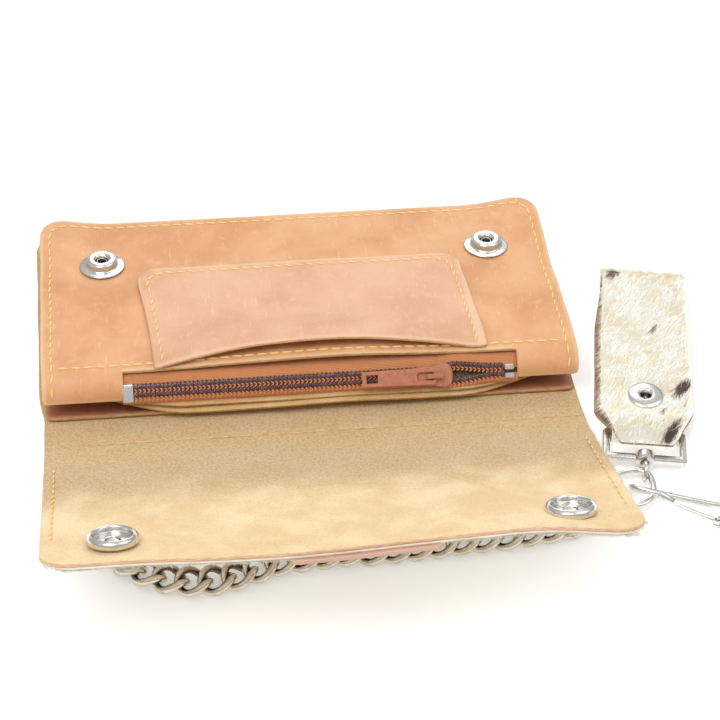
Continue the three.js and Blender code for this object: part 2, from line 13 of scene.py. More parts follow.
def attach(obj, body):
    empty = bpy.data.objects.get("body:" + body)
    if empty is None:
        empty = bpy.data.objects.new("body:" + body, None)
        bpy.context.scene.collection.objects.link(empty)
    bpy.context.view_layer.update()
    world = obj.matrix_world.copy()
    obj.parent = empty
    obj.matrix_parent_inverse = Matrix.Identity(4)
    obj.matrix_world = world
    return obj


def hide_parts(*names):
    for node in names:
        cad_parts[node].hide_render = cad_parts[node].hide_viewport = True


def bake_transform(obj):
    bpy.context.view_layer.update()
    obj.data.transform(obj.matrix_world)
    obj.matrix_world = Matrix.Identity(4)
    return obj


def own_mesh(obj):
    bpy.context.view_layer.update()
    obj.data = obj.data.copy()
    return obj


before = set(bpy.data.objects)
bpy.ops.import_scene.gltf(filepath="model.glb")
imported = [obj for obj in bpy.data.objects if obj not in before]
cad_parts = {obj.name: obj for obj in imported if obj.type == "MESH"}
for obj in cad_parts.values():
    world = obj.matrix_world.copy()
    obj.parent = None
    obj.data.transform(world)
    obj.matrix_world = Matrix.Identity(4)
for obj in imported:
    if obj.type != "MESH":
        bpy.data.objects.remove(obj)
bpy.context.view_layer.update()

mm = 0.001          # everything below is in millimetres until a piece is finished
decimetre = 100     # uv maps count in decimetres
print("frame loaded")

# the camera looks down the front at the open flap
camera = {
    "target": (19.66, -22.46, 0), "distance": 816.1, "nearest": 0.01, "farthest": 20,
    "azimuth": -8.058, "elevation": 44.612, "roll": 2.288, "lens": 111.63,
}


def placeCamera():
    azimuth, elevation, roll = (radians(camera[k]) for k in ("azimuth", "elevation", "roll"))
    back = Vector((sin(azimuth) * cos(elevation), -cos(azimuth) * cos(elevation), sin(elevation)))
    right = Vector((cos(azimuth), sin(azimuth), 0))
    up = back.cross(right)
    axes = Matrix((right * cos(roll) + up * sin(roll), up * cos(roll) - right * sin(roll), back))
    lens = bpy.data.cameras.new("camera")
    lens.lens = camera["lens"]
    lens.clip_start = camera["nearest"]
    lens.clip_end = camera["farthest"]
    holder = bpy.data.objects.new("camera", lens)
    bpy.context.scene.collection.objects.link(holder)
    place = (Vector(camera["target"]) + back * camera["distance"]) * mm
    holder.matrix_world = Matrix.Translation(place) @ axes.transposed().to_4x4()
    bpy.context.scene.camera = holder


placeCamera()
print("camera placed")


# lines, sheets and meshes
def smoothRoute(points, pieces=12):
    points = [Vector(p) for p in points]
    last = len(points) - 1
    route = []
    for i in range(last):
        before, here = points[max(i - 1, 0)], points[i]
        ahead, beyond = points[i + 1], points[min(i + 2, last)]
        leave = here + (ahead - before) / 6
        arrive = ahead - (beyond - here) / 6
        route += interpolate_bezier(here, leave, arrive, ahead, pieces + 1)[:-1]
    return route + [points[-1]]


def softened(points, rounds=3):
    # the corners of a broken line are cut again and again until they are round
    points = [Vector(p) for p in points]
    for _ in range(rounds):
        cutLine = [points[0]]
        for here, ahead in zip(points, points[1:]):
            cutLine += [here.lerp(ahead, 0.25), here.lerp(ahead, 0.75)]
        points = cutLine + [points[-1]]
    return points


class Line:
    # a line that is read by the distance along it
    def __init__(self, points):
        self.points = points
        self.reach = [0.0]
        for here, ahead in zip(points, points[1:]):
            self.reach.append(self.reach[-1] + (ahead - here).length)
        self.length = self.reach[-1]

    def at(self, distance):
        i = min(max(bisect_right(self.reach, distance) - 1, 0), len(self.points) - 2)
        here, ahead = self.points[i], self.points[i + 1]
        along = (ahead - here).normalized()
        return here + along * (distance - self.reach[i]), along

    def heading(self, distance, span=1.5):
        return (self.at(distance + span)[0] - self.at(distance - span)[0]).normalized()


def profile(points, smooth=True):
    # a line drawn in (y, z), from the sewn back edge towards the front
    spots = [(0, y, z) for y, z in points]
    return Line(smoothRoute(spots, 8) if smooth else softened(spots))


def shifted(line, offset):
    return Line([p + offset for p in line.points])


class Layer:
    # a sheet as wide as x runs, which follows a profile; h is the height over its middle
    def __init__(self, line, warp=None, place=Matrix.Identity(4)):
        self.line, self.warp, self.place = line, warp, place

    def at(self, x, s, h=0.0):
        here = self.line.at(s)[0]
        along = self.line.heading(s)
        spot = Vector((x, here.y, here.z)) + Vector((0, along.z, -along.y)) * h
        if self.warp:
            spot += self.warp(x, s, spot)
        return self.place @ spot

    def basis(self, x, s, h, turn):
        # a frame on the surface: first axis along the row, third axis out of the sheet
        here, reach = self.at(x, s, h), 0.5
        across = (self.at(x + reach, s, h) - self.at(x - reach, s, h)).normalized()
        down = (self.at(x, s + reach, h) - self.at(x, s - reach, h)).normalized()
        out = across.cross(-down).normalized()
        first = (across * cos(turn) + down * sin(turn)).normalized()
        second = out.cross(first)
        return Matrix((first, second, out)).transposed().to_4x4(), here


def ramp(value, low, high):
    t = min(max((value - low) / (high - low), 0), 1)
    return t * t * (3 - 2 * t)


def newMesh(bm, name, materials, smooth=True, recalculate=False):
    if recalculate:
        bmesh.ops.recalc_face_normals(bm, faces=bm.faces)
    mesh = bpy.data.meshes.new(name)
    bm.to_mesh(mesh)
    bm.free()
    return newPiece(mesh, name, materials, smooth)


def newPiece(mesh, name, materials, smooth=True):
    mesh.transform(Matrix.Scale(mm, 4))
    mesh.name = name
    if smooth:
        mesh.polygons.foreach_set("use_smooth", [True] * len(mesh.polygons))
    piece = bpy.data.objects.new(name, mesh)
    bpy.context.scene.collection.objects.link(piece)
    for material in materials:
        mesh.materials.append(material)
    return piece


def copiesOf(template, places, name, materials, tints=None):
    # one mesh that holds the template at every place
    corners = np.array([v.co[:] + (1,) for v in template.vertices])
    faces = [tuple(p.vertices) for p in template.polygons]
    spots = np.concatenate([corners @ np.array(place).T for place in places])[:, :3]
    count = len(corners)
    allFaces = [tuple(v + count * k for v in face) for k in range(len(places)) for face in faces]
    mesh = bpy.data.meshes.new(name)
    mesh.from_pydata(spots.tolist(), [], allFaces)
    own = template.attributes.get("tint")
    if own or tints is not None:
        values = [d.value for d in own.data] * len(places) if own else np.repeat(np.array(tints), count)
        tint = mesh.attributes.new("tint", "FLOAT", "POINT")
        tint.data.foreach_set("value", np.array(values, np.float32))
    return newPiece(mesh, name, materials)


def templateOf(bm, name):
    mesh = bpy.data.meshes.new(name)
    bm.to_mesh(mesh)
    bm.free()
    return mesh


def sheetGrid(layer, x0, x1, s0, s1, step, corners=(0, 0, 0, 0), notch=None, shape=None, holes=()):
    # a flat grid, cut to its pattern, then bent to its layer. Corners run: back left, back right,
    # front right, front left. Each vertex keeps its distance from the rim, for worn edges.
    bm = bmesh.new()
    columns, rows = ceil((x1 - x0) / step), ceil((s1 - s0) / step)
    bmesh.ops.create_grid(bm, x_segments=columns, y_segments=rows, size=1)
    for v in bm.verts:
        v.co.x = x0 + (x1 - x0) * (v.co.x + 1) / 2
        v.co.y = s0 + (s1 - s0) * (v.co.y + 1) / 2
    if notch:
        left, right, inner = notch
        cuts = (((left, 0, 0), (1, 0, 0)), ((right, 0, 0), (1, 0, 0)), ((0, inner, 0), (0, 1, 0)))
        for spot, normal in cuts:
            bmesh.ops.bisect_plane(bm, geom=bm.verts[:] + bm.edges[:] + bm.faces[:],
                                   plane_co=spot, plane_no=normal, dist=1e-4)
        gone = [f for f in bm.faces if left < f.calc_center_median().x < right
                and f.calc_center_median().y > inner]
        bmesh.ops.delete(bm, geom=gone, context="FACES")
    for x, s, reach in holes:                   # ragged, but a flange covers each
        centre = Vector((x, s, 0))
        gone = [f for f in bm.faces if (f.calc_center_median() - centre).length < reach]
        bmesh.ops.delete(bm, geom=gone, context="FACES")
    for v in bm.verts:
        roundCorner(v.co, x0, x1, s0, s1, corners)
        if shape:
            v.co.x = shape(v.co.x, v.co.y)
    rim = bm.verts.layers.float.new("rim")
    uv = bm.loops.layers.uv.new("pattern")
    for v in bm.verts:
        v[rim] = rimDistance(v.co, x0, x1, s0, s1, notch)
    for face in bm.faces:
        for loop in face.loops:
            loop[uv].uv = loop.vert.co.xy / decimetre
    for v in bm.verts:
        v.co = layer.at(v.co.x, v.co.y)
    bmesh.ops.recalc_face_normals(bm, faces=bm.faces)
    bm.faces.ensure_lookup_table()
    middle = bm.faces[len(bm.faces) // 2]
    here = layer.line.heading(middle.loops[0][uv].uv.y * decimetre)
    if middle.normal.dot(layer.place.to_3x3() @ Vector((0, here.z, -here.y))) < 0:
        bmesh.ops.reverse_faces(bm, faces=bm.faces)
    return bm


def roundCorner(spot, x0, x1, s0, s1, corners):
    places = ((x0, s0, 1, 1), (x1, s0, -1, 1), (x1, s1, -1, -1), (x0, s1, 1, -1))
    for radius, (x, s, toX, toS) in zip(corners, places):
        if not radius:
            continue
        a = 1 - (spot.x - x) * toX / radius
        b = 1 - (spot.y - s) * toS / radius
        if a > 0 and b > 0:
            spot.x = x + toX * radius * (1 - a * sqrt(1 - b * b / 2))
            spot.y = s + toS * radius * (1 - b * sqrt(1 - a * a / 2))


def rimDistance(spot, x0, x1, s0, s1, notch):
    near = min(spot.x - x0, x1 - spot.x, s1 - spot.y, spot.y - s0)
    if notch and notch[0] < spot.x < notch[1]:
        near = min(near, notch[2] - spot.y)
    return max(near, 0)


def thicken(piece, thickness, edgeRound):
    # the second finish goes inside, the third on the cut edge
    solid = piece.modifiers.new("thickness", "SOLIDIFY")
    solid.thickness = thickness * mm
    solid.offset = 0
    solid.use_even_offset = True
    solid.material_offset = 1
    solid.material_offset_rim = 2
    softEdge(piece, edgeRound, 2, 50)
    return piece


def softEdge(piece, width, segments, angle):
    soften = piece.modifiers.new("soft edge", "BEVEL")
    soften.width = width * mm
    soften.segments = segments
    soften.limit_method = "ANGLE"
    soften.angle_limit = radians(angle)


# one stitch is a long bead, half sunk in the leather
def stitchTemplate(length, thick):
    bm = bmesh.new()
    bmesh.ops.create_uvsphere(bm, u_segments=6, v_segments=6, radius=0.5)
    bmesh.ops.rotate(bm, verts=bm.verts, cent=(0, 0, 0), matrix=Matrix.Rotation(pi / 2, 3, "Y"))
    bmesh.ops.scale(bm, verts=bm.verts, vec=(length, thick, thick * 0.8))
    return templateOf(bm, "stitch")


def stitchPlaces(layer, path, height, pitch, slant, jitter=0.12):
    # path runs through (x, s) points of the flat pattern
    line = Line([Vector((x, s, 0)) for x, s in path])
    count = max(int(line.length / pitch), 1)
    places = []
    for i in range(count):
        spot, along = line.at((i + 0.5) * line.length / count)
        turn = atan2(along.y, along.x) + slant + random.uniform(-jitter, jitter)
        basis, here = layer.basis(spot.x, spot.y, height, turn)
        places.append(Matrix.Translation(here) @ basis)
    return places


def turned(name, outline, place, materials):
    # a turned part: its outline in (radius, height) is spun about its own axis
    bm = bmesh.new()
    spots = [bm.verts.new((r, 0, z)) for r, z in outline]
    edges = [bm.edges.new(pair) for pair in zip(spots, spots[1:])]
    bmesh.ops.spin(bm, geom=spots + edges, cent=(0, 0, 0), axis=(0, 0, 1), angle=2 * pi, steps=64,
                   use_merge=True)
    bmesh.ops.remove_doubles(bm, verts=bm.verts, dist=1e-4)
    bmesh.ops.transform(bm, matrix=place, verts=bm.verts)
    return newMesh(bm, name, materials, recalculate=True)


def rounded(outline, size, pieces=3):
    # the corners of a closed outline are rounded off, each by no more than most of half a side
    count, most = len(outline), 0.45
    result = []
    for i in range(count):
        before, here, ahead = (Vector(outline[(i + k) % count]) for k in (-1, 0, 1))
        a = here + (before - here).normalized() * min(size, (before - here).length * most)
        b = here + (ahead - here).normalized() * min(size, (ahead - here).length * most)
        for k in range(pieces + 1):
            t = k / pieces
            result.append(tuple(a.lerp(here, t).lerp(here.lerp(b, t), t)))
    return result + [result[0]]


def wirePiece(name, points, radius, materials, place):
    # a thin six-sided wire through its points
    curve = bpy.data.curves.new(name, "CURVE")
    curve.dimensions = "3D"
    curve.bevel_depth = radius
    curve.bevel_resolution = 1
    curve.use_fill_caps = True
    spline = curve.splines.new("POLY")
    spline.points.add(len(points) - 1)
    for spot, here in zip(spline.points, points):
        spot.co = (*here, 1)
    holder = bpy.data.objects.new(name, curve)
    bpy.context.scene.collection.objects.link(holder)
    mesh = bpy.data.meshes.new_from_object(holder)
    bpy.data.objects.remove(holder)
    bm = bmesh.new()
    bm.from_mesh(mesh)
    bmesh.ops.transform(bm, matrix=place, verts=bm.verts)
    return newMesh(bm, name, materials, recalculate=True)


def finish(piece, body, slot, *nodes):
    if nodes:
        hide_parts(*nodes)
    if body:
        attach(piece, body)
    return piece


# finishes
class Socket:
    # a shader socket that takes part in sums
    def __init__(self, tree, socket):
        self.tree, self.socket = tree, socket

    def __add__(self, other):
        return self.tree.sum("ADD", self, other)

    def __sub__(self, other):
        return self.tree.sum("SUBTRACT", self, other)

    def __rsub__(self, other):
        return self.tree.sum("SUBTRACT", other, self)

    def __mul__(self, other):
        return self.tree.sum("MULTIPLY", self, other)

    __radd__ = __add__
    __rmul__ = __mul__


class NodeTree:
    # the nodes of one finish, or of the studio's light
    def __init__(self, tree):
        self.nodes, self.links = tree.nodes, tree.links
        self.nodes.clear()

    def node(self, kind, settings=None, inputs=None, output=0, stops=()):
        made = self.nodes.new("ShaderNode" + kind)
        for key, value in (settings or {}).items():
            setattr(made, key, value)
        if stops:
            for element, (position, colour) in zip(made.color_ramp.elements, stops):
                element.position, element.color = position, colour
        for key, value in (inputs or {}).items():
            self.feed(made.inputs[key], value)
        return Socket(self, made.outputs[output])

    def feed(self, socket, value):
        if isinstance(value, Socket):
            self.links.new(value.socket, socket)
        else:
            socket.default_value = value

    def close(self, kind, surface):
        output = self.nodes.new("ShaderNodeOutput" + kind)
        self.links.new(surface, output.inputs[0])

    def sum(self, operation, a, b):
        return self.node("Math", {"operation": operation}, {0: a, 1: b})

    def scaled(self, vector, factors):
        return self.node("VectorMath", {"operation": "MULTIPLY"}, {0: vector, 1: factors})

    def mix(self, factor, a, b):
        settings = {"data_type": "RGBA", "blend_type": "MIX", "clamp_factor": True}
        return self.node("Mix", settings, {0: factor, 6: a, 7: b}, 2)

    def range(self, value, low, high, to=(0, 1)):
        settings = {"interpolation_type": "SMOOTHSTEP"}
        return self.node("MapRange", settings, {0: value, 1: low, 2: high, 3: to[0], 4: to[1]})

    def noise(self, vector, scale, detail, roughness, distortion=0.0):
        inputs = {"Vector": vector, "Scale": scale, "Detail": detail, "Roughness": roughness,
                  "Distortion": distortion}
        return self.node("TexNoise", None, inputs)

    def cells(self, vector, scale):
        return self.node("TexVoronoi", {"feature": "F1"}, {"Vector": vector, "Scale": scale})

    def attribute(self, name):
        return self.node("Attribute", {"attribute_name": name}, None, "Fac")

    def pattern(self):
        # the piece's own flat pattern, in millimetres
        return self.scaled(self.node("UVMap", {"uv_map": "pattern"}), (decimetre,) * 3)

    def space(self):
        # millimetres in the piece's own space
        return self.scaled(self.node("TexCoord", None, None, "Object"), (1 / mm,) * 3)

    def bump(self, height, distance, strength):
        inputs = {"Height": height, "Distance": distance * mm, "Strength": strength}
        return self.node("Bump", None, inputs)


class Finish(NodeTree):
    sockets = {
        "colour": "Base Color", "roughness": "Roughness", "metallic": "Metallic", "normal": "Normal",
        "specular": "Specular IOR Level", "sheen": "Sheen Weight", "sheenRoughness": "Sheen Roughness",
        "coat": "Coat Weight", "glowColour": "Emission Color", "glow": "Emission Strength",
    }

    def __init__(self, name):
        self.material = bpy.data.materials.new(name)
        self.material.use_nodes = True
        super().__init__(self.material.node_tree)
        self.surface = self.nodes.new("ShaderNodeBsdfPrincipled")
        self.close("Material", self.surface.outputs[0])

    def set(self, **values):
        for key, value in values.items():
            self.feed(self.surface.inputs[self.sockets[key]], value)


def tone(hexColour, light=1.0):
    # a colour as eyes see it, made linear
    parts = [int(hexColour[i:i + 2], 16) / 255 for i in (0, 2, 4)]
    return (*[min(((p + 0.055) / 1.055) ** 2.4 if p > 0.04 else p / 12.92, 1) * light for p in parts], 1)


def smoothLeather(name, base, dark, pale, edgeTone, grain=0.10, roughness=0.5):
    f = Finish(name)
    flat = f.pattern()
    mottle = f.noise(flat, 0.035, 4, 0.55, 0.4)
    cloud = f.noise(flat, 0.16, 5, 0.6)
    streak = f.noise(f.scaled(flat, (0.22, 0.035, 1)), 1.0, 5, 0.65, 1.2)
    scratch = f.noise(f.scaled(flat, (0.9, 0.07, 1)), 1.0, 2, 0.5, 2.2)
    pore = f.cells(flat, 1.15)
    grit = f.noise(flat, 2.6, 3, 0.6)
    colour = f.mix(f.range(mottle, 0.35, 0.68), tone(base), tone(dark))
    colour = f.mix(f.range(cloud, 0.52, 0.75) * 0.45, colour, tone(pale))
    colour = f.mix(f.range(streak, 0.6, 0.74) * 0.4, colour, tone(pale))
    colour = f.mix(f.range(scratch, 0.665, 0.69) * 0.45, colour, tone(pale, 1.1))
    colour = f.mix(f.range(pore, 0.0, 0.35, (0.16, 0)), colour, tone(dark, 0.6))
    rim = f.attribute("rim")
    wearAndShade = f.range(rim + (grit - 0.5) * 1.6, 2.0, 0.5)
    colour = f.mix(wearAndShade * 0.45, colour, tone(edgeTone))
    height = pore * 0.5 + grit * 0.35 + cloud * 1.2
    f.set(colour=colour, roughness=f.range(cloud, 0.3, 0.7, (roughness - 0.07, roughness + 0.09)),
          normal=f.bump(height, grain, 0.8), specular=0.38)
    return f.material


def napLeather(name, base, dark, pale, nearFold=None):
    # the flesh side: a brushed nap, coarser towards the fold and darker there with painted shade
    f = Finish(name)
    flat = f.pattern()
    fibre = f.noise(flat, 2.2, 6, 0.75, 0.6)
    clump = f.noise(f.scaled(flat, (1.15, 0.9, 1)), 1.0, 6, 0.72, 0.6)
    cloud = f.noise(flat, 0.05, 4, 0.6, 0.3)
    pit = f.cells(f.scaled(flat, (1, 0.8, 1)), 0.55)
    colour = f.mix(f.range(cloud, 0.36, 0.66), tone(base), tone(pale))
    colour = f.mix(f.range(clump, 0.44, 0.72) * 0.4, colour, tone(dark))
    colour = f.mix(f.range(fibre, 0.45, 0.7) * 0.4, colour, tone(pale, 1.1))
    coarse = 0.6
    if nearFold:
        # painted shade darkens the suede towards the fold, where its nap is also coarser
        along = f.node("SeparateXYZ", None, {0: flat}, 1)
        deep = f.range(along + (cloud - 0.5) * 30, nearFold[1], nearFold[0])
        wearAndShade = f.mix(f.range(clump, 0.4, 0.62), tone(base, 0.92), tone(dark, 0.9))
        colour = f.mix(deep * 0.75, colour, wearAndShade)
        coarse = deep * 0.8 + 0.25
    height = clump * 0.9 + fibre * 0.5 - f.range(pit, 0.0, 0.3, (0.3, 0))
    f.set(colour=colour, roughness=0.95, normal=f.bump(height * coarse, 0.55, 0.9),
          specular=0.15, sheen=0.25, sheenRoughness=0.6)
    return f.material


def cutEdge(name, base, dark):
    f = Finish(name)
    spot = f.space()
    fibre = f.noise(spot, 1.8, 5, 0.7)
    layer = f.noise(f.scaled(spot, (0.3, 0.3, 4)), 1.0, 3, 0.6)
    colour = f.mix(f.range(layer, 0.4, 0.65), tone(base), tone(dark))
    f.set(colour=colour, roughness=0.85, normal=f.bump(fibre, 0.25, 0.8))
    return f.material


def hairCoat(name, white, cream, brown, glow=0.0):
    # the skin under the hair, and the strands themselves: tint runs from white to brown
    f = Finish(name)
    spot = f.space()
    cloud = f.noise(spot, 0.12, 4, 0.6)
    lie = f.noise(f.scaled(spot, (2.4, 0.35, 2.4)), 1.0, 4, 0.6, 0.5)
    colour = f.mix(f.range(cloud, 0.38, 0.68), tone(white), tone(cream))
    colour = f.mix(f.range(lie, 0.5, 0.72) * 0.25, colour, tone(cream, 0.92))
    colour = f.mix(f.range(f.attribute("tint"), 0.35, 0.75), colour, tone(brown))
    f.set(colour=colour, roughness=0.6, normal=f.bump(lie, 0.1, 0.4), specular=0.4, sheen=0.4,
          sheenRoughness=0.5)
    if glow:                                     # painted glow: the hair gives off its own colour in place of light that scatters between white hairs
        f.set(glowColour=colour, glow=glow)
    return f.material


def wovenTape(name, base, dark):
    f = Finish(name)
    flat = f.pattern()
    x = f.node("SeparateXYZ", None, {0: flat}, 0)
    y = f.node("SeparateXYZ", None, {0: flat}, 1)
    rib = f.sum("SINE", x * 7.5, 0.0)
    pick = f.sum("SINE", y * 11.0 + rib * 1.1, 0.0)
    weave = rib * pick
    cloud = f.noise(flat, 0.4, 4, 0.6)
    colour = f.mix(f.range(weave, -0.7, 0.8), tone(dark), tone(base))
    colour = f.mix(f.range(cloud, 0.4, 0.7) * 0.3, colour, tone(dark))
    f.set(colour=colour, roughness=0.88, normal=f.bump(weave * 0.5 + cloud * 0.2, 0.18, 0.9), sheen=0.2)
    return f.material


def thread(name, base, dark, twist=5.0):
    f = Finish(name)
    spot = f.space()
    ply = f.node("TexWave", {"wave_type": "BANDS", "bands_direction": "DIAGONAL"},
                 {"Vector": spot, "Scale": twist * 0.5, "Distortion": 1.0})
    f.set(colour=f.mix(f.range(ply, 0.2, 0.8), tone(dark), tone(base)), roughness=0.62,
          normal=f.bump(ply, 0.04, 0.5))
    return f.material


def coilPlastic(name, base, pale):
    f = Finish(name)
    cloud = f.noise(f.space(), 0.7, 3, 0.6)
    f.set(colour=f.mix(f.range(cloud, 0.4, 0.75), tone(base), tone(pale)), coat=0.5,
          roughness=f.range(cloud, 0.3, 0.7, (0.15, 0.28)), normal=f.bump(cloud, 0.03, 0.3))
    return f.material


def painted(name, base, dark, pale):
    f = Finish(name)
    spot = f.space()
    cloud = f.noise(spot, 0.5, 4, 0.6)
    speck = f.noise(spot, 3.2, 3, 0.6)
    colour = f.mix(f.range(cloud, 0.35, 0.7), tone(base), tone(dark))
    colour = f.mix(f.range(speck, 0.66, 0.74) * 0.6, colour, tone(pale))
    f.set(colour=colour, roughness=f.range(cloud, 0.3, 0.7, (0.28, 0.42)), metallic=0.15,
          normal=f.bump(speck, 0.04, 0.5))
    return f.material


def plated(name, base, dark, roughness=0.16, dirt=0.25, inside=None):
    f = Finish(name)
    spot = f.space()
    cloud = f.noise(spot, 0.35, 4, 0.6, 0.4)
    hairline = f.noise(f.scaled(spot, (0.5, 6, 6)), 1.0, 3, 0.6, 0.6)
    colour = f.mix(f.range(cloud, 0.4, 0.75) * dirt * 2, tone(base), tone(dark))
    # painted shade: the tint attribute darkens the inside of each chain link
    if inside:
        colour = f.mix(f.attribute("tint") * 0.85, colour, tone(inside))
    f.set(colour=colour, metallic=1.0, roughness=f.range(cloud, 0.3, 0.75, (roughness, roughness + 0.14)),
          normal=f.bump(hairline, 0.02, 0.35))
    return f.material


random.seed(11)
panelTan = smoothLeather("panelTan", "dfa97c", "cf9464", "ebbd95", "ecd0a4")
pocketTan = smoothLeather("pocketTan", "e0b190", "d4a07c", "edc5a6", "ecd2ac")
liningLeather = smoothLeather("liningLeather", "a96a4c", "8f523a", "c08468", "c79572", 0.08, 0.48)
facingLeather = smoothLeather("facingLeather", "c79c88", "b4846f", "d8b3a2", "dcbba6", 0.12, 0.55)
# painted shade darkens the flap's suede near the fold, and the spine's suede all over
flapSuede = napLeather("flapSuede", "e3c28e", "c59a60", "f0d8aa", (30, 62))
spineSuede = napLeather("spineSuede", "e3c28e", "c59a60", "f0d8aa", (200, 300))
bodySuede = napLeather("bodySuede", "cfa468", "a97c46", "dfc08e")
paleEdge = cutEdge("paleEdge", "e6cda3", "c59a63")
pinkEdge = cutEdge("pinkEdge", "ecc6a4", "d6a680")
ochreEdge = cutEdge("ochreEdge", "cba268", "9a7442")
fobEdge = cutEdge("fobEdge", "b9a083", "8d745a")
# the strap's hair has a painted glow; the flap's hide hair has none
hair = hairCoat("hair", "fffdf4", "f8efd8", "5a3a28", 0.13)
hideHair = hairCoat("hideHair", "f0e9da", "e0d3b8", "94704e")
tapeWeave = wovenTape("tapeWeave", "e39c68", "bd7649")
coilDark = coilPlastic("coilDark", "4a2a2a", "7d565a")
zipThread = thread("zipThread", "e59a64", "bd7446")
paleThread = thread("paleThread", "ffe2a0", "f2c674")
sliderPaint = painted("sliderPaint", "c58468", "b37055", "d9a288")
nickel = plated("nickel", "e2e0dc", "b7b2aa")
# the chain's inside colour is painted shade between the links
chainNickel = plated("chainNickel", "e8dfcd", "bfb096", 0.14, 0.35, "54452f")
print("finishes made")

# the chain: curb links on one route, from the D-ring to the pear ring
chain = {
    "route": [
        (-76, -77.9), (-76.6, -86), (-76.9, -94.5), (-75.4, -103.5), (-71, -111.5), (-64, -118.3),
        (-55, -122.8), (-45, -124.6), (-34, -123.4), (-24, -120), (-14, -117.4), (-2, -116.5),
        (10, -116.3), (24, -115.9), (40, -115), (57, -113.9), (72, -112.4), (84, -110.2),
        (92, -106.4), (97.3, -102.6),
    ],
    "z": 2.9, "pitch": 7.6, "endGap": 1.3, "lift": 0.6, "endLift": 1.8, "endRoll": 55, "unevenRoll": 7,
    "wire": 1.32, "halfLength": 5.4, "halfWidth": 4.5, "bulge": 0.08, "twist": -50, "around": 26, "about": 10,
    "length": 0.211, "width": 0.011,
}


def linkMiddle(t):
    # the middle of the wire, t radians round an oval whose ends are twisted one way and the other
    x = chain["halfLength"] * cos(t)
    y = chain["halfWidth"] * sin(t) * (1 + chain["bulge"] * (1 - abs(sin(t))))
    turn = radians(chain["twist"]) * cos(t)
    return Vector((x, y * cos(turn), y * sin(turn)))


def curbLink():
    # a ring is spun from a circle of wire, then its points move out to the twisted oval
    bm = bmesh.new()
    upright = Matrix.Translation((chain["halfLength"], 0, 0)) @ Matrix.Rotation(pi / 2, 4, "X")
    bmesh.ops.create_circle(bm, segments=chain["about"], radius=chain["wire"],
                            matrix=upright @ Matrix.Rotation(pi / 2, 4, "Z"))
    bmesh.ops.spin(bm, geom=bm.verts[:] + bm.edges[:], cent=(0, 0, 0), axis=(0, 0, 1), angle=2 * pi,
                   steps=chain["around"], use_merge=True)
    tint = bm.verts.layers.float.new("tint")      # painted shade: the inside of the loop, where the links shade each other, is darkened
    step = 2 * pi / chain["around"]
    for v in bm.verts:
        t = atan2(v.co.y, v.co.x)
        a = atan2(v.co.z, v.co.xy.length - chain["halfLength"])
        here = linkMiddle(t)
        along = (linkMiddle(t + step) - linkMiddle(t - step)).normalized()
        side = along.cross(Vector((0, 0, 1))).normalized()
        out = side * cos(a) + side.cross(along) * sin(a)
        v.co = here + out * chain["wire"]
        v[tint] = ramp(-out.dot(here.normalized()), -0.45, 0.55)
    bmesh.ops.recalc_face_normals(bm, faces=bm.faces)
    return templateOf(bm, "link")


def makeChain():
    line = Line(smoothRoute([(x, y, chain["z"]) for x, y in chain["route"]]))
    run = line.length - 2 * chain["endGap"]
    count = round(run / chain["pitch"])
    places = []
    for i in range(count + 1):
        distance = chain["endGap"] + run * i / count
        along = line.heading(distance, 3)
        nearEnd = 1 - ramp(min(distance, line.length - distance), 1, 7)
        side = Vector((0, 0, 1)).cross(along)
        basis = Matrix((along, side, Vector((0, 0, 1)))).transposed().to_4x4()
        uneven = random.uniform(-chain["unevenRoll"], chain["unevenRoll"])
        roll = Matrix.Rotation(radians(chain["endRoll"] * nearEnd + uneven), 4, "X")
        lift = Vector((0, 0, chain["endLift"] * nearEnd + chain["lift"]))
        places.append(Matrix.Translation(line.at(distance)[0] + lift) @ basis @ roll)
    piece = copiesOf(curbLink(), places, "curbChain", [chainNickel])
    path = [line.at(line.length * i / 60)[0] * mm for i in range(61)]
    print("chain", round(line.length, 1), "mm", len(places), "links")
    return finish(piece, "wallet", "nickel", "wallet_chain")


makeChain()

# hair: thin strands that lie along the hide; root, tip and flat are shares of a strand's thickness
strand = {"root": 0.5, "tip": 0.06, "flat": 0.35, "stray": 0.22, "lowest": 0.2, "hidden": 0.1}
brownSpots = {"dark": 0.8, "from": 0.2, "full": 0.42, "noneAt": 84, "allAt": 66}


def hairTemplate():
    # one strand: a thin three-sided blade that tapers to its tip
    bm = bmesh.new()
    bmesh.ops.create_cone(bm, cap_ends=False, segments=3, radius1=strand["root"], radius2=strand["tip"],
                          depth=1)
    bmesh.ops.rotate(bm, verts=bm.verts, cent=(0, 0, 0), matrix=Matrix.Rotation(pi / 2, 3, "Y"))
    bmesh.ops.translate(bm, verts=bm.verts, vec=(0.5, 0, 0))
    return templateOf(bm, "strand")


def strandPlaces(layer, spots, height, lean, heading, length, thick):
    # spots are (x, s) roots; heading is the way the hair lies in the flat pattern
    places = []
    for x, s in spots:
        turn = heading + random.gauss(0, strand["stray"])
        basis, here = layer.basis(x, s, height, turn)
        tilt = Matrix.Rotation(-lean * random.uniform(0.4, 1.6), 4, "Y")
        size = Matrix.Diagonal((length * random.uniform(0.65, 1.3), thick, thick * strand["flat"], 1))
        place = Matrix.Translation(here) @ basis @ tilt @ size
        if (place @ Vector((1, 0, 0))).z < strand["lowest"]:       # nothing pokes through the table
            place = Matrix.Translation(here) @ Matrix.Diagonal((strand["hidden"],) * 3).to_4x4()
        places.append(place)
    return places


def spotAt(x, s):
    # a few brown spots in the white hair, which fade towards the flap's free edge
    fleck = noise.noise(Vector((x * 0.024, s * 0.034, 4)))
    fleck += 0.25 * noise.noise(Vector((x * 0.13, s * 0.1, 8)))
    inside = ramp(s, brownSpots["noneAt"], brownSpots["allAt"])
    return brownSpots["dark"] * ramp(fleck, brownSpots["from"], brownSpots["full"]) * inside


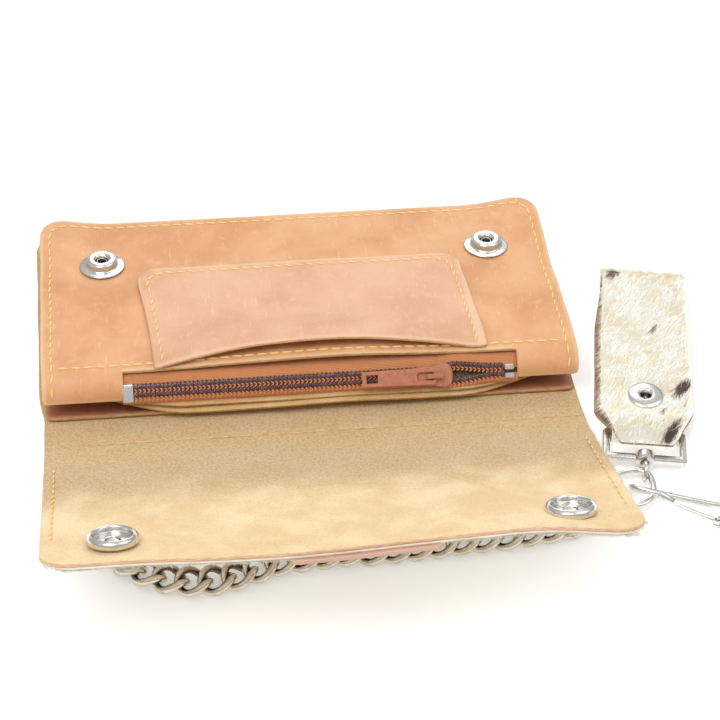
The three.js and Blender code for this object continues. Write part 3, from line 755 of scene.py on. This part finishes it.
def spotted(bm, offset=0.0):
    # the skin under the hair has the same spots; the offset joins one sheet's pattern to the next
    tint, uv = bm.verts.layers.float.new("tint"), bm.loops.layers.uv["pattern"]
    for v in bm.verts:
        x, s = v.link_loops[0][uv].uv * decimetre
        v[tint] = spotAt(x, s + offset)
    return bm


# the wallet's body: hides, dividers, front panel
facing = {"left": -18, "right": 28.5, "inner": 64, "over": 2.3, "thickness": 1.2, "gap": 0.35, "margin": 3}
body = {
    "halfWidth": 95, "corner": 11, "hide": 2.2, "curl": 4.5, "leftFlare": 0.018, "panelEdge": 2.4,
    "fold": (-52.5, 3.1), "spineLength": 23, "spineRise": 15, "flapLength": 89.5, "flapRise": 27.5,
}
flap = {
    "thickness": 1.3, "skin": 0.8, "skinBelow": 1.05, "corner": 10,
    "swells": [(52, 26, 2.6), (-22, 30, -1.8), (92, 16, -1.6)],     # along the free edge: x, reach, height
    "strands": 15000, "fringe": 3000, "sideFringe": 900, "rootHeight": -0.35, "lean": -0.1, "lie": 52,
    "strandLength": 3.0, "strandThick": 0.3,
}


def rising(angle):
    return Vector((0, -cos(radians(angle)), sin(radians(angle))))


foldPoint = Vector((0, *body["fold"]))
spineWay, flapWay = rising(body["spineRise"]), rising(body["flapRise"])
spineMiddle = foldPoint + spineWay * body["spineLength"] / 2
flapPoint = foldPoint + spineWay * body["spineLength"]
flapEdge = flapPoint + flapWay * body["flapLength"]


def bodyWarp(x, s, spot):
    # the sewn corners curl up; long edges are never quite straight
    lift = body["curl"] * ramp(abs(x), 62, 98) ** 1.5 * ramp(spot.y, 8, 52)
    wave = 0.5 * noise.noise(Vector((x * 0.03, spot.y * 0.02, 3))) * ramp(spot.y, 60, 20)
    sway = 0.35 * noise.noise(Vector((spot.y * 0.06, x * 0.01, 9)))
    return Vector((sway, 0, lift + wave))


def panelWarp(x, s, spot):
    # the cut edge above the zip bulges in the middle
    bulge = body["panelEdge"] * exp(-((x - 2) / 42) ** 2) * ramp(spot.y, -8, -42) * ramp(s, 112, 94)
    return bodyWarp(x, s, spot) + Vector((0, 0, bulge))


def makeSheet(name, layer, x0, x1, s0, s1, thickness, finishes, edgeRound=0.3, step=2.0, **pattern):
    piece = newMesh(sheetGrid(layer, x0, x1, s0, s1, step, **pattern), name, finishes)
    return thicken(piece, thickness, edgeRound)


def backHideEdge(x, s):
    # the left side flares a little, but not at the spine
    return x * (1 + body["leftFlare"] * (1 - ramp(s, 84, 98))) if x < 0 else x


def makeBackHide():
    # back hide and the near half of the spine, in one piece that bends at the first fold
    w, r = body["halfWidth"], body["corner"]
    line = profile([(50, 1.25), (-36, 1.25), (-44, 1.4), body["fold"], spineMiddle.yz], False)
    layer = Layer(line, bodyWarp)
    bm = sheetGrid(layer, -w, w, 0, line.length, 2.2, corners=(r, r, 0, 0), shape=backHideEdge)
    spotted(bm, -line.length)
    piece = thicken(newMesh(bm, "backHide", [spineSuede, hideHair, paleEdge]), body["hide"], 0.35)
    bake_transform(piece)
    return finish(piece, None, "hair_hide", "back_hide")


def flapWarp(x, s, spot):
    # the free edge waves, and its corners lift a little
    near = ramp(s, 45, 104)
    wave = sum(height * exp(-((x - middle) / reach) ** 2) for middle, reach, height in flap["swells"])
    lift = near * wave + 0.5 * noise.noise(Vector((x * 0.035, s * 0.03, 5)))
    shrink = 0.7 * noise.noise(Vector((x * 0.045, 1, 2))) * near
    return (Vector((0, 0, 1)) * lift - flapWay * shrink) * ramp(s, 8, 30)


def flapLayer():
    line = profile([spineMiddle.yz, flapPoint.yz, flapEdge.yz], False)
    return Layer(line, flapWarp)


def makeFlapHide():
    # the far half of the spine and the flap, which bends at the second fold
    w, r = body["halfWidth"], flap["corner"]
    layer = flapLayer()
    length = layer.line.length
    bm = sheetGrid(layer, -w, w, 0, length, 2.0, corners=(0, 0, r, r))
    piece = thicken(newMesh(bm, "flapHide", [flapSuede, pinkEdge, pinkEdge]), flap["thickness"], 0.35)
    out = Vector((0, spineWay.z, -spineWay.y))
    under = Layer(shifted(layer.line, out * -flap["skinBelow"]), flapWarp)
    bm = sheetGrid(under, -w, w, 0, length + 0.2, 2.4, corners=(0, 0, r, r))
    skin = thicken(newMesh(spotted(bm), "flapHairSkin", [hideHair] * 3), flap["skin"], 0.2)
    roots = [(random.uniform(-w + 1, w - 1), random.uniform(2, length - 1)) for _ in range(flap["strands"])]
    for _ in range(flap["fringe"]):              # it stands out past the free edge
        x = random.uniform(-w + 5, w - 5)
        roots.append((x, length - random.uniform(0.8, 2.6)))
    for _ in range(flap["sideFringe"]):
        roots.append((random.choice((-1, 1)) * (w - random.uniform(0, 1)), random.uniform(4, 92)))
    # no hair under the leather facing
    below = [(x, s) for x, s in roots if not (facing["left"] - 1 < x < facing["right"] + 1 and s > 72)]
    places = strandPlaces(under, below, flap["rootHeight"], flap["lean"], radians(flap["lie"]),
                          flap["strandLength"], flap["strandThick"])
    coat = copiesOf(hairTemplate(), places, "flapHair", [hideHair], [spotAt(x, s) for x, s in below])
    start, end = flapPoint - spineWay * 4, flapPoint + flapWay * 4
    for part in (piece, skin, coat):
        start * mm
        end * mm
        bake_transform(part)
    finish(skin, None, "hair_hide")
    finish(coat, None, "hair_hide")
    return finish(piece, None, "suede", "spine_hide", "flap_hide")


divider = {"bow": 1.1, "sag": 1.0, "ripple": 0.5, "middleDrawn": 11, "pocketDrawn": 9}


def drawnBack(x, spot, far):
    # the ends of the inner layers draw back, which leaves a dark wedge at each side
    return far * ramp(abs(x - 4), 48, 92) * ramp(spot.y, -10, -47)


def rearWarp(x, s, spot):
    bow = divider["bow"] * exp(-((x + 8) / 40) ** 2) * ramp(spot.y, -30, -48)
    return bodyWarp(x, s, spot) + Vector((0, 0, bow))


def middleWarp(x, s, spot):
    back = drawnBack(x, spot, divider["middleDrawn"])
    sag = divider["sag"] * (1 - ramp(abs(x), 30, 70)) * ramp(spot.y, -35, -47)
    ripple = divider["ripple"] * sin(x * 0.05 + 1) * ramp(spot.y, -25, -47)
    return bodyWarp(x, s, spot) + Vector((0, back - sag, ripple))


def zipPocketWarp(x, s, spot):
    return bodyWarp(x, s, spot) + Vector((0, drawnBack(x, spot, divider["pocketDrawn"]), 0))


def makeDividers():
    w = body["halfWidth"]
    rear = profile([(49.5, 3.1), (-20, 3.1), (-40, 3.1), (-44, 3.6), (-48, 4.6)], False)
    piece = makeSheet("rearDivider", Layer(rear, rearWarp), 0.5 - w, w - 0.5, 0, rear.length, 1.2,
                      [liningLeather, bodySuede, ochreEdge], corners=(10, 10, 3, 3))
    finish(piece, "wallet", "lining_leather", "rear_divider")
    middle = profile([(49.5, 4.8), (20, 6.5), (-10, 8), (-28, 8.8), (-40, 8.5), (-49.6, 7.0)])
    piece = makeSheet("middleDivider", Layer(middle, middleWarp), 1 - w, w - 1, 0, middle.length, 1.2,
                      [bodySuede, bodySuede, ochreEdge], corners=(10, 10, 6, 6))
    finish(piece, "wallet", "suede", "middle_divider")
    inner = profile([(49.5, 6.3), (20, 8), (-10, 9.5), (-28, 10.3), (-40, 10), (-49.2, 9.0)])
    piece = makeSheet("zipPocketBack", Layer(inner, zipPocketWarp), 1.5 - w, w - 1.5, 0, inner.length, 0.9,
                      [bodySuede, liningLeather, ochreEdge], 0.2, corners=(10, 10, 2, 2))
    finish(piece, "wallet", "lining_leather", "zip_pocket_back")


panelLine = profile([(50, 8.4), (22, 11.7), (0, 14.8), (-20, 17.5), (-33, 19.05), (-39.5, 19.2),
                     (-43.7, 17.8), (-46, 15), (-46.6, 11.3)])


def alongLine(line, y):
    # how far along a profile it first comes down to this y, to a quarter of a millimetre
    distance = 0.0
    while distance < line.length and line.at(distance)[0].y > y:
        distance += 0.25
    return distance


snap = {"x": 72.1, "studY": 21.7, "studZ": 13.05, "studTilt": 7.5, "hole": 3.6, "socketAt": 75.5,
        "apart": 1.45}
panel = {"left": -66.6, "right": 72.8, "notchY": -41, "thickness": 1.6, "margin": 3.6, "seamBend": 8,
         "seamEndY": -46.3, "pitch": 4.3, "cutMargin": 2.6}
pocket = {"left": -59.4, "right": 60.4, "backY": 17, "mouthY": -40.4, "thickness": 1.4, "rise": 1.85,
          "corner": 8, "gape": 3.6, "margin": 3.4, "lean": 7.85, "pressed": 0.2, "pitch": 4.0}
proud = 0.12        # how far a stitch's middle stands above the leather


def makePanel():
    w, r, m = body["halfWidth"], body["corner"], panel["margin"]
    layer = Layer(panelLine, panelWarp)
    notch = (panel["left"], panel["right"], alongLine(panelLine, panel["notchY"]))
    studAt = alongLine(panelLine, snap["studY"])
    piece = makeSheet("frontPanel", layer, -w, w, 0, panelLine.length, panel["thickness"],
                      [panelTan, bodySuede, paleEdge], 0.45, 1.8, corners=(r, r, 1.5, 1.5), notch=notch,
                      holes=[(x, studAt, snap["hole"]) for x in (-snap["x"], snap["x"])])
    finish(piece, "wallet", "tan_leather", "front_panel")
    top = panel["thickness"] / 2 + proud
    bead = stitchTemplate(3.7, 0.85)
    low = alongLine(panelLine, panel["seamEndY"])
    side, bend = w - m, panel["seamBend"]

    def corner(way):
        angles = (0, pi / 6, pi / 3, pi / 2)
        return [(way * (side - bend + bend * sin(a)), m + bend - bend * cos(a)) for a in angles]

    frameLine = [(-side, low)] + corner(-1)[::-1] + corner(1) + [(side, low)]
    places = stitchPlaces(layer, frameLine, top, panel["pitch"], 0.12)
    cutLine = notch[2] - panel["cutMargin"]
    places += stitchPlaces(layer, [(-side + 2, cutLine), (side - 2, cutLine)], top, panel["pitch"], 0.05)
    finish(copiesOf(bead, places, "panelStitches", [paleThread]), "wallet", "tan_leather")


def pocketWarp(x, s, spot):
    # the mouth stands open in a low arch
    middle = (pocket["left"] + pocket["right"]) / 2
    share = 1 - ((x - middle) / (pocket["right"] - middle - 4)) ** 2
    gape = pocket["gape"] * max(share, 0) ** 0.8 * ramp(spot.y, -14, pocket["mouthY"] + 1)
    droop = ramp(x, -15, -58) * ramp(spot.y, -12, pocket["mouthY"])
    return panelWarp(x, s, spot) + Vector((0, 0.75 * gape - 1.7 * droop, gape - 0.3 * droop))


def makePocket():
    m = pocket["margin"]
    start, end = alongLine(panelLine, pocket["backY"]), alongLine(panelLine, pocket["mouthY"])
    layer = Layer(shifted(panelLine, Vector((0, 0, pocket["rise"]))), pocketWarp)

    def flare(x, s):
        # wider towards the mouth, most of all on the left
        return x + (0.5 + (3.6 if x < 0 else 1.6) * abs(x) / 60) * ramp(s, start, end)

    piece = makeSheet("patchPocket", layer, pocket["left"], pocket["right"], start, end, pocket["thickness"],
                      [pocketTan, bodySuede, pinkEdge], 0.35, 1.8, shape=flare,
                      corners=(pocket["corner"], pocket["corner"], 1, 1))
    finish(piece, "wallet", "pocket_leather", "patch_pocket")
    bead = stitchTemplate(3.5, 0.85)
    left, right, back = pocket["left"] + m, pocket["right"] - m, start + m
    seam = [(left, end - 2), (left, back + 6), (left + 2, back + 1.6), (left + 6, back),
            (right - 6, back), (right - 2, back + 1.6), (right, back + 6), (right, end - 2)]
    path = [(flare(x, s), s) for x, s in seam]
    places = stitchPlaces(layer, path, pocket["thickness"] / 2 + proud, pocket["pitch"], 0.3, 0.15)
    stitches = finish(copiesOf(bead, places, "pocketStitches", [paleThread]), "wallet", "pocket_leather")
    # the pocket and its stitches each get a mesh of their own
    for part in (piece, stitches):
        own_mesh(part)


makeBackHide()
makeFlapHide()
makeDividers()
makePanel()
makePocket()
print("body and flap sewn")

# studs on the panel, sockets and caps on the flap: outlines in (radius, height)
snapOutlines = {
    "stud": rounded([(2.2, 0), (8.25, 0), (8.25, 0.5), (5.9, 0.8), (5.5, 1.4), (5.5, 3.1), (4.7, 3.7),
                     (3.1, 3.7), (2.2, 2.9)], 0.4),
    "rivet": rounded([(1.65, -3), (5, -3), (5, -2.3), (1.9, -2.3), (1.9, 2.4), (1.65, 2.4)], 0.1, 2),
    "socket": rounded([(2.4, 0), (8.25, 0), (8.25, 2.0), (7.25, 2.9), (6.75, 2.9), (6.25, 2.4),
                       (6.25, 0.8), (2.4, 0.8)], 0.6, 4),
    "cap": rounded([(0.01, -2.0), (3.5, -1.85), (6.2, -1.1), (7.5, 0), (2.05, 0), (2.05, 3.4),
                    (0.01, 3.4)], 0.3),
}


def makeSnaps():
    flapTurn = Matrix.Rotation(radians(-body["flapRise"]), 4, "X")
    out = flapTurn @ Vector((0, 0, snap["apart"]))
    for side, x in (("left", -snap["x"]), ("right", snap["x"])):
        centre = flapPoint + flapWay * snap["socketAt"] + Vector((x, 0, 0))
        onPanel = (Matrix.Translation((x, snap["studY"], snap["studZ"]))
                   @ Matrix.Rotation(radians(-snap["studTilt"]), 4, "X"))
        inFlap = Matrix.Translation(centre + out) @ flapTurn
        underFlap = Matrix.Translation(centre - out) @ flapTurn
        for name, outline, place, rides, node in (
            ("stud_" + side + "_ring", "stud", onPanel, "wallet", "stud_" + side),
            ("rivet_" + side + "_tube", "rivet", onPanel, "wallet", "stud_rivet_" + side),
            ("socket_" + side + "_ring", "socket", inFlap, "flap", "socket_" + side),
            ("cap_" + side + "_dome", "cap", underFlap, "flap", "cap_" + side),
        ):
            finish(turned(name, snapOutlines[outline], place, [nickel]), rides, "nickel", node)


makeSnaps()
print("snaps set")

# the zip: tapes, coils, threads, stops, slider and pull
zipper = {
    "y": -46, "z": 13.6, "tilt": 48, "left": -67.1, "right": 73.3, "coilLeft": -63.2, "coilRight": 68,
    "pitch": 1.5, "coilHalf": 0.95, "coilHeight": 0.75, "wire": 0.46, "turnPoints": 10, "spread": 1.5,
    # tapes: profile in (across, height). Cores: from and to. Coils and threads: middle of each row
    "upperTape": [(9.2, -4.6), (5.9, -0.9), (4.6, -0.25), (1.2, -0.1)], "upperCore": (3.0, 0.25),
    "lowerTape": [(-0.6, -0.1), (-2.8, -0.15), (-3.7, -1.7)], "lowerCore": (0.1, -1.8),
    "upperCoil": 2.0, "lowerCoil": -0.8, "upperThread": 0.62, "lowerThread": -2.25, "threadHeight": 1.15,
    "threadSlant": 38,
}
zipLean = Matrix.Rotation(radians(zipper["tilt"]), 4, "X")
zipPlace = Matrix.Translation((0, zipper["y"], zipper["z"])) @ zipLean
zipSides = (("upper", "Upper", 1), ("lower", "Lower", -1))


def parting(x):
    # closed behind the slider, parted in front of it, together again at the top stops
    return zipper["spread"] * ramp(x, 44, 50) * (1 - ramp(x, 49, 65))


def makeTapes():
    for row, end, side in zipSides:
        def puff(x, s, spot):
            lift = 0.25 * noise.noise(Vector((x * 0.08, s * 0.2, side * 4)))
            return Vector((0, side * parting(x) * 0.8, lift))

        line = Line(softened([(0, y, z) for y, z in zipper[row + "Tape"]], 2))
        piece = makeSheet("zipTape" + end, Layer(line, puff, zipPlace), zipper["left"], zipper["right"], 0,
                          line.length, 0.6, [tapeWeave] * 3, 0.15, 1.2)
        finish(piece, "wallet", "zip_tape", "zip_tape_" + row)
    for row, end, side in zipSides:              # a dark cord runs inside each coil
        def split(x, s, spot):
            return Vector((0, side * parting(x), 0))

        high, low = zipper[row + "Core"]
        line = Line(softened([(0, high, 0.25), (0, (high + low) / 2, 0.6), (0, low, 0.25)], 2))
        core = makeSheet("coilCore" + end, Layer(line, split, zipPlace), zipper["coilLeft"],
                         zipper["coilRight"], 0, line.length, 0.4, [coilDark] * 3, 0.1, 1.2)
        finish(core, "wallet", "zip_coil")


def makeCoils():
    left, long = zipper["coilLeft"], zipper["coilRight"] - zipper["coilLeft"]
    turns = int(long / zipper["pitch"])
    steps = turns * zipper["turnPoints"]
    for row, end, side in zipSides:
        points = []
        for i in range(steps + 1):
            x = left + long * i / steps
            a = 2 * pi * i / zipper["turnPoints"] * side
            y = zipper[row + "Coil"] + side * parting(x) + zipper["coilHalf"] * cos(a)
            points.append((x, y, zipper["coilHeight"] * sin(a)))
        piece = wirePiece("coil" + end, points, zipper["wire"], [coilDark], zipPlace)
        finish(piece, "wallet", "zip_coil", "zip_coil_" + row)
    places = []
    for row, end, side in zipSides:              # sewn down with a slanting stitch each way
        for i in range(turns):
            x = left + 0.8 + zipper["pitch"] * i
            for arm in (1, -1):
                y = zipper[row + "Thread"] + side * parting(x) + 0.4 * arm
                place = Matrix.Translation((x, y, zipper["threadHeight"]))
                slant = Matrix.Rotation(radians(-zipper["threadSlant"] * arm), 4, "Z")
                places.append(zipPlace @ place @ slant)
    finish(copiesOf(stitchTemplate(1.25, 0.58), places, "coilThreads", [zipThread]), "wallet", "zip_tape")


def softCopy(node, name, rides, slot, material, width, segments=3, angle=30, grow=None, shift=0):
    # a carried-over shape with its edges rounded
    bm = bmesh.new()
    bm.from_mesh(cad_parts[node].data)
    bmesh.ops.remove_doubles(bm, verts=bm.verts, dist=1e-6)
    bmesh.ops.dissolve_limit(bm, angle_limit=radians(2), verts=bm.verts, edges=bm.edges)
    mesh = templateOf(bm, name)
    mesh.transform(Matrix.Scale(1 / mm, 4))
    if grow:                                     # swelled about its middle, along the zip and across it
        middle = sum((v.co for v in mesh.vertices), Vector()) / len(mesh.vertices)
        swell = zipLean @ Matrix.Diagonal((*grow, 1)) @ zipLean.inverted()
        moved = Matrix.Translation(middle + Vector((shift, 0, 0)))
        mesh.transform(moved @ swell @ Matrix.Translation(-middle))
    piece = newPiece(mesh, name, [material])
    softEdge(piece, width, segments, angle)
    return finish(piece, rides, slot, node)


makeTapes()
makeCoils()
softCopy("zip_bottom_stop", "bottomStop", "wallet", "nickel", nickel, 0.3, grow=(1.05, 1.45, 1.2), shift=-2.8)
for row, end, _ in zipSides:
    softCopy("zip_top_stop_" + row, "topStop" + end, "wallet", "nickel", nickel, 0.3,
             grow=(1.15, 1.2, 1.2), shift=2.2)
softCopy("slider_body", "slider", "slider", "slider_paint", sliderPaint, 0.35)
softCopy("slider_pull", "pull", "pull", "slider_paint", sliderPaint, 0.3)
print("zip made")

# flap seams and the leather facing at its free edge
flapSeam = {"margin": 3.6, "from": 6, "to": 70, "pitch": 4.4, "facingPitch": 3.4}


def makeFlapDetails():
    layer = flapLayer()
    bead = stitchTemplate(3.0, 0.7)
    side = body["halfWidth"] - flapSeam["margin"]
    spineHalf = body["spineLength"] / 2
    places = []
    for x in (-side, side):
        line = [(x, spineHalf + flapSeam["from"]), (x, spineHalf + flapSeam["to"])]
        places += stitchPlaces(layer, line, body["hide"] / 2 + 0.1, flapSeam["pitch"], 0.1)
    finish(copiesOf(bead, places, "flapStitches", [paleThread]), "flap", "suede")
    drop = -(body["hide"] / 2 + facing["gap"] + facing["thickness"] / 2)
    patch = Layer(shifted(layer.line, Vector((0, flapWay.z, -flapWay.y)) * drop), flapWarp)
    start, end = spineHalf + facing["inner"], spineHalf + body["flapLength"] + facing["over"]
    left, right, m = facing["left"], facing["right"], facing["margin"]
    piece = makeSheet("flapFacing", patch, left, right, start, end, facing["thickness"],
                      [facingLeather] * 3, 0.3, 1.6, corners=(3, 3, 1.5, 1.5))
    finish(piece, "flap", "pocket_leather", "flap_facing")
    places = []
    for path in (
        [(left + m, start + m), (left + m, end - 0.6)],
        [(right - m, start + m), (right - m, end - 0.6)],
        [(left + m + 2, start + m), (right - m - 2, start + m)],
    ):
        places += stitchPlaces(patch, path, -facing["thickness"] / 2 - 0.15, flapSeam["facingPitch"], 0)
    finish(copiesOf(bead, places, "facingStitches", [paleThread]), "flap", "pocket_leather")


makeFlapDetails()

# belt fob: a strap of hair hide folded round a cast frame
fob = {
    "x": 112.9, "y": -82.8, "turn": -10.7, "axisZ": 4.1, "left": -15.8, "right": 17, "thickness": 2.0,
    "foldV": 88, "snapV": 24.5, "barV": 11, "splitV": 70, "neck": 11.8, "waist": 0.05, "skew": 1.5,
    "hingeV": 91.2, "hingeZ": 6.8, "hingeLean": 10, "hingeSpan": 2.8, "eyelet": 23.8,
    "strands": 14000, "strandLength": 4.0, "strandThick": 0.32, "lean": 0.05, "lie": 114,
}
fobPlace = Matrix.Translation((fob["x"], fob["y"], 0)) @ Matrix.Rotation(radians(fob["turn"]), 4, "Z")
# dark tufts on the strap: (u, v, half width, half length, strength)
tufts = [
    (-10.8, 89, 2.6, 1.6, 0.8), (4.1, 61, 0.9, 2.4, 0.75), (13.1, 80, 0.6, 1.0, 0.5), (14, 31.3, 2.3, 4.6, 1),
    (14.3, 23, 0.7, 1.2, 0.6), (7, 18.4, 0.8, 1.9, 0.8), (9.4, 8.6, 1.9, 6.0, 1), (11.8, 13, 1.2, 2.6, 0.7),
]


def arcPoints(centreV, centreZ, radius, start, end, pieces):
    angles = [radians(start + (end - start) * i / pieces) for i in range(pieces + 1)]
    return [(0, centreV + radius * cos(a), centreZ + radius * sin(a)) for a in angles]


def strapFrontLine():
    # from the rear run, round the top fold and down the front to the tail
    rear = [(0, fob["splitV"], 1.25), (0, 80, 1.25)]
    fold = arcPoints(fob["foldV"], 4.95, 3.7, -90, 90, 10)
    front = [(0, 76, 8.6), (0, 60, 8.5), (0, 40, 8.4), (0, 31, 8.4), (0, 24.5, 8.4), (0, 18, 8.7),
             (0, 14, 9.2), (0, 11, 9.5), (0, 8, 9.3), (0, 5, 8.5), (0, 2.6, 7.6)]
    return Line(smoothRoute(rear + fold + front, 5))


def strapRearLine():
    curl = arcPoints(fob["barV"], fob["axisZ"], 2.75, -270, -90, 10)
    points = [(0, 16.5, 5.4), (0, 14, 6.4)] + curl + [(0, 20, 1.25), (0, 40, 1.25), (0, fob["splitV"], 1.25)]
    return Line(smoothRoute(points, 5))


def tuftAt(u, v):
    strength = 0
    for cu, cv, halfU, halfV, dark in tufts:
        du, dv = u - cu, v - cv
        du -= 0.42 * dv                                   # tufts lean with the hair
        reach = (du / halfU) ** 2 + (dv / halfV) ** 2
        strength = max(strength, dark * (1 - ramp(reach, 0.5, 1.5)))
    return strength


def makeStrap():
    w, centre = (fob["right"] - fob["left"]) / 2, (fob["right"] + fob["left"]) / 2
    frontLine, rearLine = strapFrontLine(), strapRearLine()
    tail = frontLine.length

    def taper(x, s):
        # the front leaf draws in to a neck and again at its tail, and is a little slimmer near the fold
        back = tail - s
        neck = (w - fob["neck"]) * min(max((16.5 - back) / 11.5, 0), 1) ** 1.3
        half = w - neck - 2.8 * max(1 - back / 5, 0) ** 1.6
        waist = 1 - fob["waist"] * ramp(back, 45, 90) * ramp(back, 112, 94)
        return (centre * (half / w) + (x - centre) * half / w) * waist

    def narrow(x, s):
        # the rear run is as narrow as the neck where it passes round the frame
        free = ramp(s, 18, 27)
        half = fob["neck"] + (w - fob["neck"]) * free
        return centre * free + (x - centre) * half / w

    def wave(x, s, spot):
        # the rear run lies a little to the left of the front leaf
        low = ramp(fob["foldV"] - spot.y, -2, 26) * ramp(5 - spot.z, 0, 2) * ramp(spot.y, 12, 24)
        across = 0.25 * noise.noise(Vector((s * 0.06, 1, x * 0.02))) - fob["skew"] * low
        lift = 0.25 * noise.noise(Vector((x * 0.08, s * 0.05, 7))) * ramp(spot.z, 3, 8)
        return Vector((across, 0, lift))

    front, rear = Layer(frontLine, wave, fobPlace), Layer(rearLine, wave, fobPlace)
    eyeletAt = tail - fob["eyelet"]
    bm = sheetGrid(front, fob["left"], fob["right"], 0, tail, 1.4, shape=taper, holes=[(0, eyeletAt, 3.8)])
    tint = bm.verts.layers.float.new("tint")
    inverse = fobPlace.inverted()
    for v in bm.verts:
        here = inverse @ v.co
        v[tint] = tuftAt(here.x, here.y) * 0.8 if here.z > 5 else 0
    strap = thicken(newMesh(bm, "beltStrap", [hair, fobEdge, fobEdge]), fob["thickness"], 0.3)
    bm = sheetGrid(rear, fob["left"], fob["right"], 0, rearLine.length, 1.8, shape=narrow)
    rearPiece = thicken(newMesh(bm, "strapRearRun", [hair, fobEdge, fobEdge]), fob["thickness"], 0.3)
    finish(rearPiece, "strap_rear", "fob_hide", "strap_rear_leaf")

    roots, tints = [], []
    while len(roots) < fob["strands"]:
        x = random.uniform(fob["left"] + 0.2, fob["right"] - 0.2)
        s = random.uniform(8, tail - 0.4)
        along = taper(x, s)
        if sqrt(along ** 2 + (s - eyeletAt) ** 2) < 6.6:       # the eyelet's flange
            continue
        if s > tail - 13 and (abs(x - centre) > w - 1.5 or s > tail - 2.5):       # clear of the frame
            continue
        roots.append((along, s))
        here = inverse @ front.at(along, s)
        tints.append(min(tuftAt(here.x, here.y) * random.uniform(0.75, 1.25), 1) if here.z > 4 else 0.0)
    places = strandPlaces(front, roots, fob["thickness"] / 2 - 0.03, fob["lean"], radians(fob["lie"]),
                          fob["strandLength"], fob["strandThick"])
    coat = copiesOf(hairTemplate(), places, "strapHair", [hair], tints)
    for piece in (strap, coat):
        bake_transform(piece)
    finish(strap, None, "fob_hide", "strap_front_leaf")
    finish(coat, None, "fob_hide")


def makeFobSnap():
    eyelet = rounded([(1.7, -2.9), (2.0, -2.9), (2.1, 0), (6.3, 0), (6.3, 0.35), (5.2, 0.85), (2.8, 1.05),
                      (2.1, 0.7), (1.7, -0.4)], 0.3)
    place = fobPlace @ Matrix.Translation((0, fob["snapV"], 9.9))
    finish(turned("eyeletRing", eyelet, place, [nickel]), "strap_front", "nickel", "fob_eyelet")
    softCopy("fob_socket", "fobSocket", "strap_front", "nickel", nickel, 0.15, 2)
    softCopy("fob_stud", "fobStud", "strap_rear", "nickel", nickel, 0.15, 2)


makeStrap()
makeFobSnap()
print("fob made")

# rings, frame, swivel and clip: node, piece, body, edge width, segments and angle
hardware = [
    ("fob_frame", "castFrame", "fob_frame_body", 0.35, 3, 40), ("swivel_post", "swivel", "post", 0.12, 2, 40),
    ("pear_ring", "pearRing", "wallet", 0.45, 3, 40), ("d_ring", "dRing", "wallet", 0.45, 3, 40),
    ("clip_body", "clip", "clip", 0.1, 2, 50), ("clip_gate", "clipGate", "gate", 0.1, 2, 50),
]
for node, name, rides, *edge in hardware:
    softCopy(node, name, rides, "nickel", nickel, *edge)
softCopy("chain_tab", "chainTab", "wallet", "lining_leather", facingLeather, 0.3, 2)
print("hardware made")

# floor and light; lamps: name, place, size, power
studio = {
    "floor": "fafafa", "glow": 0.3, "world": 0.62,
    "skyStops": ((0.0, (0.6, 0.6, 0.6, 1)), (0.55, (1, 1, 1, 1))),
    "lamps": [("key", (-300, -350, 1000), 600, 5.2), ("fill", (550, -100, 800), 700, 1.6),
              ("back", (100, 700, 500), 500, 1.8)],
}


def makeStudio():
    bm = bmesh.new()
    bmesh.ops.create_grid(bm, x_segments=1, y_segments=1, size=4000)
    f = Finish("paleFloor")
    f.set(colour=tone(studio["floor"]), roughness=0.9, glowColour=(1, 1, 1, 1), glow=studio["glow"])
    newMesh(bm, "floor", [f.material], smooth=False)
    world = bpy.data.worlds.new("studio")
    world.use_nodes = True
    sky = NodeTree(world.node_tree)
    height = sky.node("SeparateXYZ", None, {0: sky.node("TexCoord", None, None, "Generated")}, 2)
    fade = sky.node("ValToRGB", None, {0: height}, stops=studio["skyStops"])
    sky.close("World", sky.node("Background", None, {0: fade, 1: studio["world"]}).socket)
    bpy.context.scene.world = world
    for name, place, size, power in studio["lamps"]:
        lamp = bpy.data.lights.new(name, "AREA")
        lamp.energy, lamp.size = power, size * mm
        holder = bpy.data.objects.new(name, lamp)
        spot = Vector(place) * mm
        holder.matrix_world = Matrix.Translation(spot) @ spot.to_track_quat("Z", "Y").to_matrix().to_4x4()
        bpy.context.scene.collection.objects.link(holder)


makeStudio()
bpy.context.scene.view_settings.view_transform = "Standard"
print("finished")
